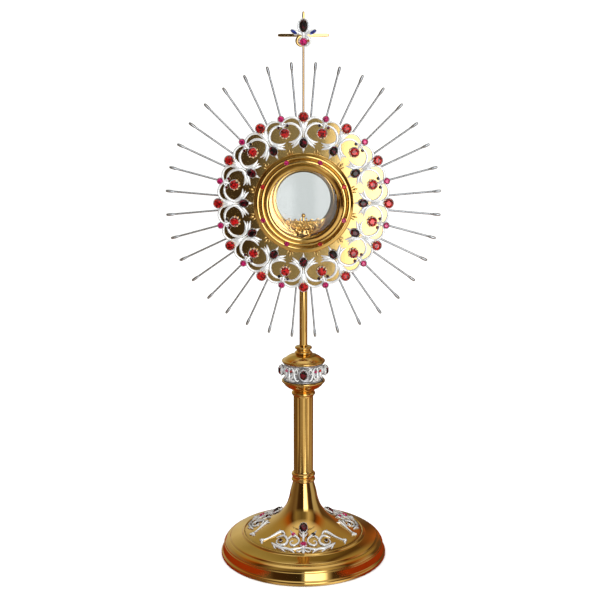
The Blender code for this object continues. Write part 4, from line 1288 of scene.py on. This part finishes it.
def makeFinialMount():
    arm = cross["armHeight"] - midHeight
    place = onHead("finial_mount") @ shift(0, arm, 0)
    lines = mirrored(finial["sides"]) + [finial["spine"], finial["leaf"]]
    goldLeaf = [(-x, y, width) for x, y, width in finial["leaf"]]
    tray = {"silver": [flatWork("finialScrolls", lines, 0.62, place)]}
    for x, y, turned, sort in finial["stones"]:
        setStone(sort, place @ shift(x, y, 0.9) @ turnedBy(radians(turned)), tray)
    tray["gold"] = [flatWork("goldLeaf", [goldLeaf], 0.62, place),
                    copyOf(clawBead, "pearl", place @ shift(5.2, -5.8, 2.0) @ Matrix.Scale(1.9 * mm, 4))]
    handTray("finialMount", tray, ["finial_mount"])


makeFinialMount()
discard(cutStone, collet, clawBead)
print("cross set")

for node in ("base_plate", "tie_rod", "tie_nut", "tie_washer"):
    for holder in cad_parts[node].material_slots:
        holder.material = brightSteel


# floor, camera and light

view = {"place": (0, -1.2, 0.53), "pitch": 79, "lens": 65.85, "shift": (-0.0057, 0.00125)}


def inMirrorsOnly(tree):
    rays = tree.nodes.new("ShaderNodeLightPath")
    return mathNode(tree, "SUBTRACT", rays.outputs["Glossy Depth"], rays.outputs["Is Diffuse Ray"], True)


def makeStage():
    # white paper to the eye; in the metal's reflections a red-brown board lies beside the foot
    bpy.ops.mesh.primitive_plane_add(size=16, location=(0, 0, 0))
    floor = bpy.context.object
    floor.name = "floor"
    paint, tree, shader, coords = newMaterial("paleFloor")
    give(shader, {"Base Color": (0.93, 0.93, 0.93, 1), "Roughness": 0.8, "Specular IOR Level": 0})
    parts = addNode(tree, "SeparateXYZ")
    tree.links.new(coords, parts.inputs[0])
    across = mathNode(tree, "ABSOLUTE", parts.outputs[0], 0.0)
    length = addNode(tree, "VectorMath", {"operation": "LENGTH"})
    tree.links.new(coords, length.inputs[0])
    near = rangeNode(tree, length.outputs["Value"], *room["boardReach"], 1.0, 0.0)
    beside = mathNode(tree, "ADD", mathNode(tree, "MULTIPLY", across, room["boardSlant"]), parts.outputs[1])
    near = mathNode(tree, "MULTIPLY", near, rangeNode(tree, beside, *room["boardEdge"], 0.0, 1.0))
    board = addNode(tree, "BsdfDiffuse", Color=(*room["board"], 1))
    inMirrors = tree.nodes.new("ShaderNodeMixShader")
    tree.links.new(near, inMirrors.inputs[0])
    tree.links.new(tree.nodes.new("ShaderNodeBsdfTransparent").outputs[0], inMirrors.inputs[1])
    tree.links.new(board.outputs[0], inMirrors.inputs[2])
    both = tree.nodes.new("ShaderNodeMixShader")
    tree.links.new(inMirrorsOnly(tree), both.inputs[0])
    tree.links.new(shader.outputs[0], both.inputs[1])
    tree.links.new(inMirrors.outputs[0], both.inputs[2])
    tree.links.new(both.outputs[0], tree.nodes["Material Output"].inputs["Surface"])
    floor.data.materials.append(paint)
    bpy.ops.object.camera_add(location=view["place"], rotation=(radians(view["pitch"]), 0, 0))
    camera = bpy.context.object
    camera.data.lens = view["lens"]
    camera.data.shift_x, camera.data.shift_y = view["shift"]
    bpy.context.scene.camera = camera


def addSoftbox(name, place, target, size, power, colour):
    bpy.ops.object.light_add(type="AREA", location=place)
    lamp = bpy.context.object
    lamp.name = name
    lamp.rotation_euler = (Vector(target) - Vector(place)).to_track_quat("-Z", "Y").to_euler()
    lamp.data.shape = "RECTANGLE"
    lamp.data.size, lamp.data.size_y = size
    lamp.data.energy = power
    lamp.data.color = colour
    lamp.visible_glossy = False


# what polished metal sees round it, by heading in degrees: 0 is behind the camera, right is +
room = {
    "walls": [(-180, (0.32, 0.28, 0.19)), (-168, (0.62, 0.6, 0.45)), (-150, (0.48, 0.44, 0.34)),
              (-110, (0.22, 0.16, 0.1)), (-80, (0.14, 0.09, 0.05)), (-55, (0.18, 0.13, 0.08)),
              (-40, (0.05, 0.025, 0.012)), (-6, (0.03, 0.02, 0.012)), (-2.5, (0.05, 0.036, 0.024)),
              (-1.9, (0.16, 0.15, 0.13)), (-1.2, (0.24, 0.24, 0.23)), (1.5, (0.26, 0.26, 0.25)),
              (2.4, (2.8, 2.8, 2.8)), (26, (2.6, 2.6, 2.5)), (34, (0.42, 0.37, 0.28)),
              (40, (0.06, 0.035, 0.018)), (66, (0.05, 0.025, 0.013)), (76, (0.5, 0.48, 0.44)),
              (105, (0.45, 0.41, 0.34)), (120, (0.1, 0.06, 0.03)), (150, (0.12, 0.07, 0.035)),
              (160, (0.36, 0.12, 0.03)), (168, (0.1, 0.045, 0.015)), (180, (0.32, 0.28, 0.19))],
    "table": [(-180, (0.16, 0.09, 0.04)), (-110, (0.15, 0.09, 0.04)), (-55, (0.16, 0.1, 0.045)),
              (-40, (0.5, 0.42, 0.32)), (-20, (0.46, 0.39, 0.29)), (0, (0.34, 0.29, 0.2)),
              (18, (0.6, 0.54, 0.42)), (45, (1, 0.92, 0.8)), (70, (0.6, 0.5, 0.38)),
              (82, (0.25, 0.14, 0.06)), (120, (0.2, 0.11, 0.05)), (180, (0.16, 0.09, 0.04))],
    "ceiling": [(-180, (0.2, 0.16, 0.065)), (-155, (0.34, 0.31, 0.17)), (-125, (0.36, 0.25, 0.09)),
                (-100, (0.36, 0.11, 0.015)), (-75, (0.07, 0.03, 0.012)), (-50, (0.26, 0.21, 0.11)),
                (-12, (0.14, 0.11, 0.06)), (12, (0.2, 0.16, 0.08)), (36, (0.6, 0.52, 0.36)),
                (60, (0.28, 0.22, 0.12)), (75, (0.07, 0.03, 0.012)), (100, (0.36, 0.11, 0.015)),
                (130, (0.36, 0.28, 0.13)), (155, (0.32, 0.25, 0.12)), (161, (0.07, 0.035, 0.012)),
                (167, (0.17, 0.13, 0.05)), (180, (0.2, 0.16, 0.065))],
    "skylight": (0.8, 0.78, 0.72), "white": (1.2, 1.2, 1.2), "board": (0.21, 0.03, 0.006),
    "boardReach": (0.18, 0.32), "boardEdge": (-0.02, 0.03), "boardSlant": 1.3,
    "tableEdge": (-0.24, -0.15), "ceilingEdge": (0.34, 0.6), "skylightEdge": (0.84, 0.97),
}


def rampNode(tree, value, stops):
    node = addNode(tree, "ValToRGB")
    elements = node.color_ramp.elements
    for index, (heading, colour) in enumerate(stops):
        place = (heading + 180) / 360
        stop = elements[index] if index < 2 else elements.new(place)
        stop.position = place
        stop.color = (*colour, 1)
    tree.links.new(value, node.inputs["Fac"])
    return node.outputs["Color"]


def makeRoomLight():
    # white to the eye and to matt surfaces; polished metal sees a warm room with one window
    world = bpy.context.scene.world or bpy.data.worlds.new("room")
    bpy.context.scene.world = world
    world.use_nodes = True
    world.cycles.sampling_method = "NONE"  # rays find the room themselves, so each kind sees its own
    tree = world.node_tree
    tree.nodes.clear()
    parts = addNode(tree, "SeparateXYZ")
    tree.links.new(tree.nodes.new("ShaderNodeTexCoord").outputs["Generated"], parts.inputs[0])
    towards = mathNode(tree, "MULTIPLY", parts.outputs[1], -1.0)
    heading = rangeNode(tree, mathNode(tree, "ARCTAN2", parts.outputs[0], towards), -pi, pi, 0.0, 1.0)
    height = parts.outputs[2]
    walls = rampNode(tree, heading, room["walls"])
    table = rampNode(tree, heading, room["table"])
    ceiling = rampNode(tree, heading, room["ceiling"])
    around = table
    for edge, nextUp in (("tableEdge", walls), ("ceilingEdge", ceiling), ("skylightEdge", room["skylight"])):
        share = rangeNode(tree, height, *room[edge], 0.0, 1.0)
        around = mixColours(tree, share, around, nextUp)
    mirrored = inMirrorsOnly(tree)
    background = addNode(tree, "Background")
    tree.links.new(mixColours(tree, mirrored, room["white"], around), background.inputs["Color"])
    output = tree.nodes.new("ShaderNodeOutputWorld")
    tree.links.new(background.outputs[0], output.inputs[0])


makeStage()
makeRoomLight()
addSoftbox("windowRight", (1.35, -1.9, 0.75), (0, 0, 0.35), (1.3, 1.9), 26, (1.0, 0.98, 0.94))
addSoftbox("topSoft", (-0.5, -0.6, 1.9), (0, 0, 0.3), (1.4, 1.4), 9, (1.0, 0.99, 0.97))
addSoftbox("backLeft", (-1.4, 1.3, 1.0), (0, 0, 0.35), (0.6, 1.4), 6, (1.0, 1.0, 1.0))
bpy.context.scene.view_settings.view_transform = "Standard"
print("stage lit")
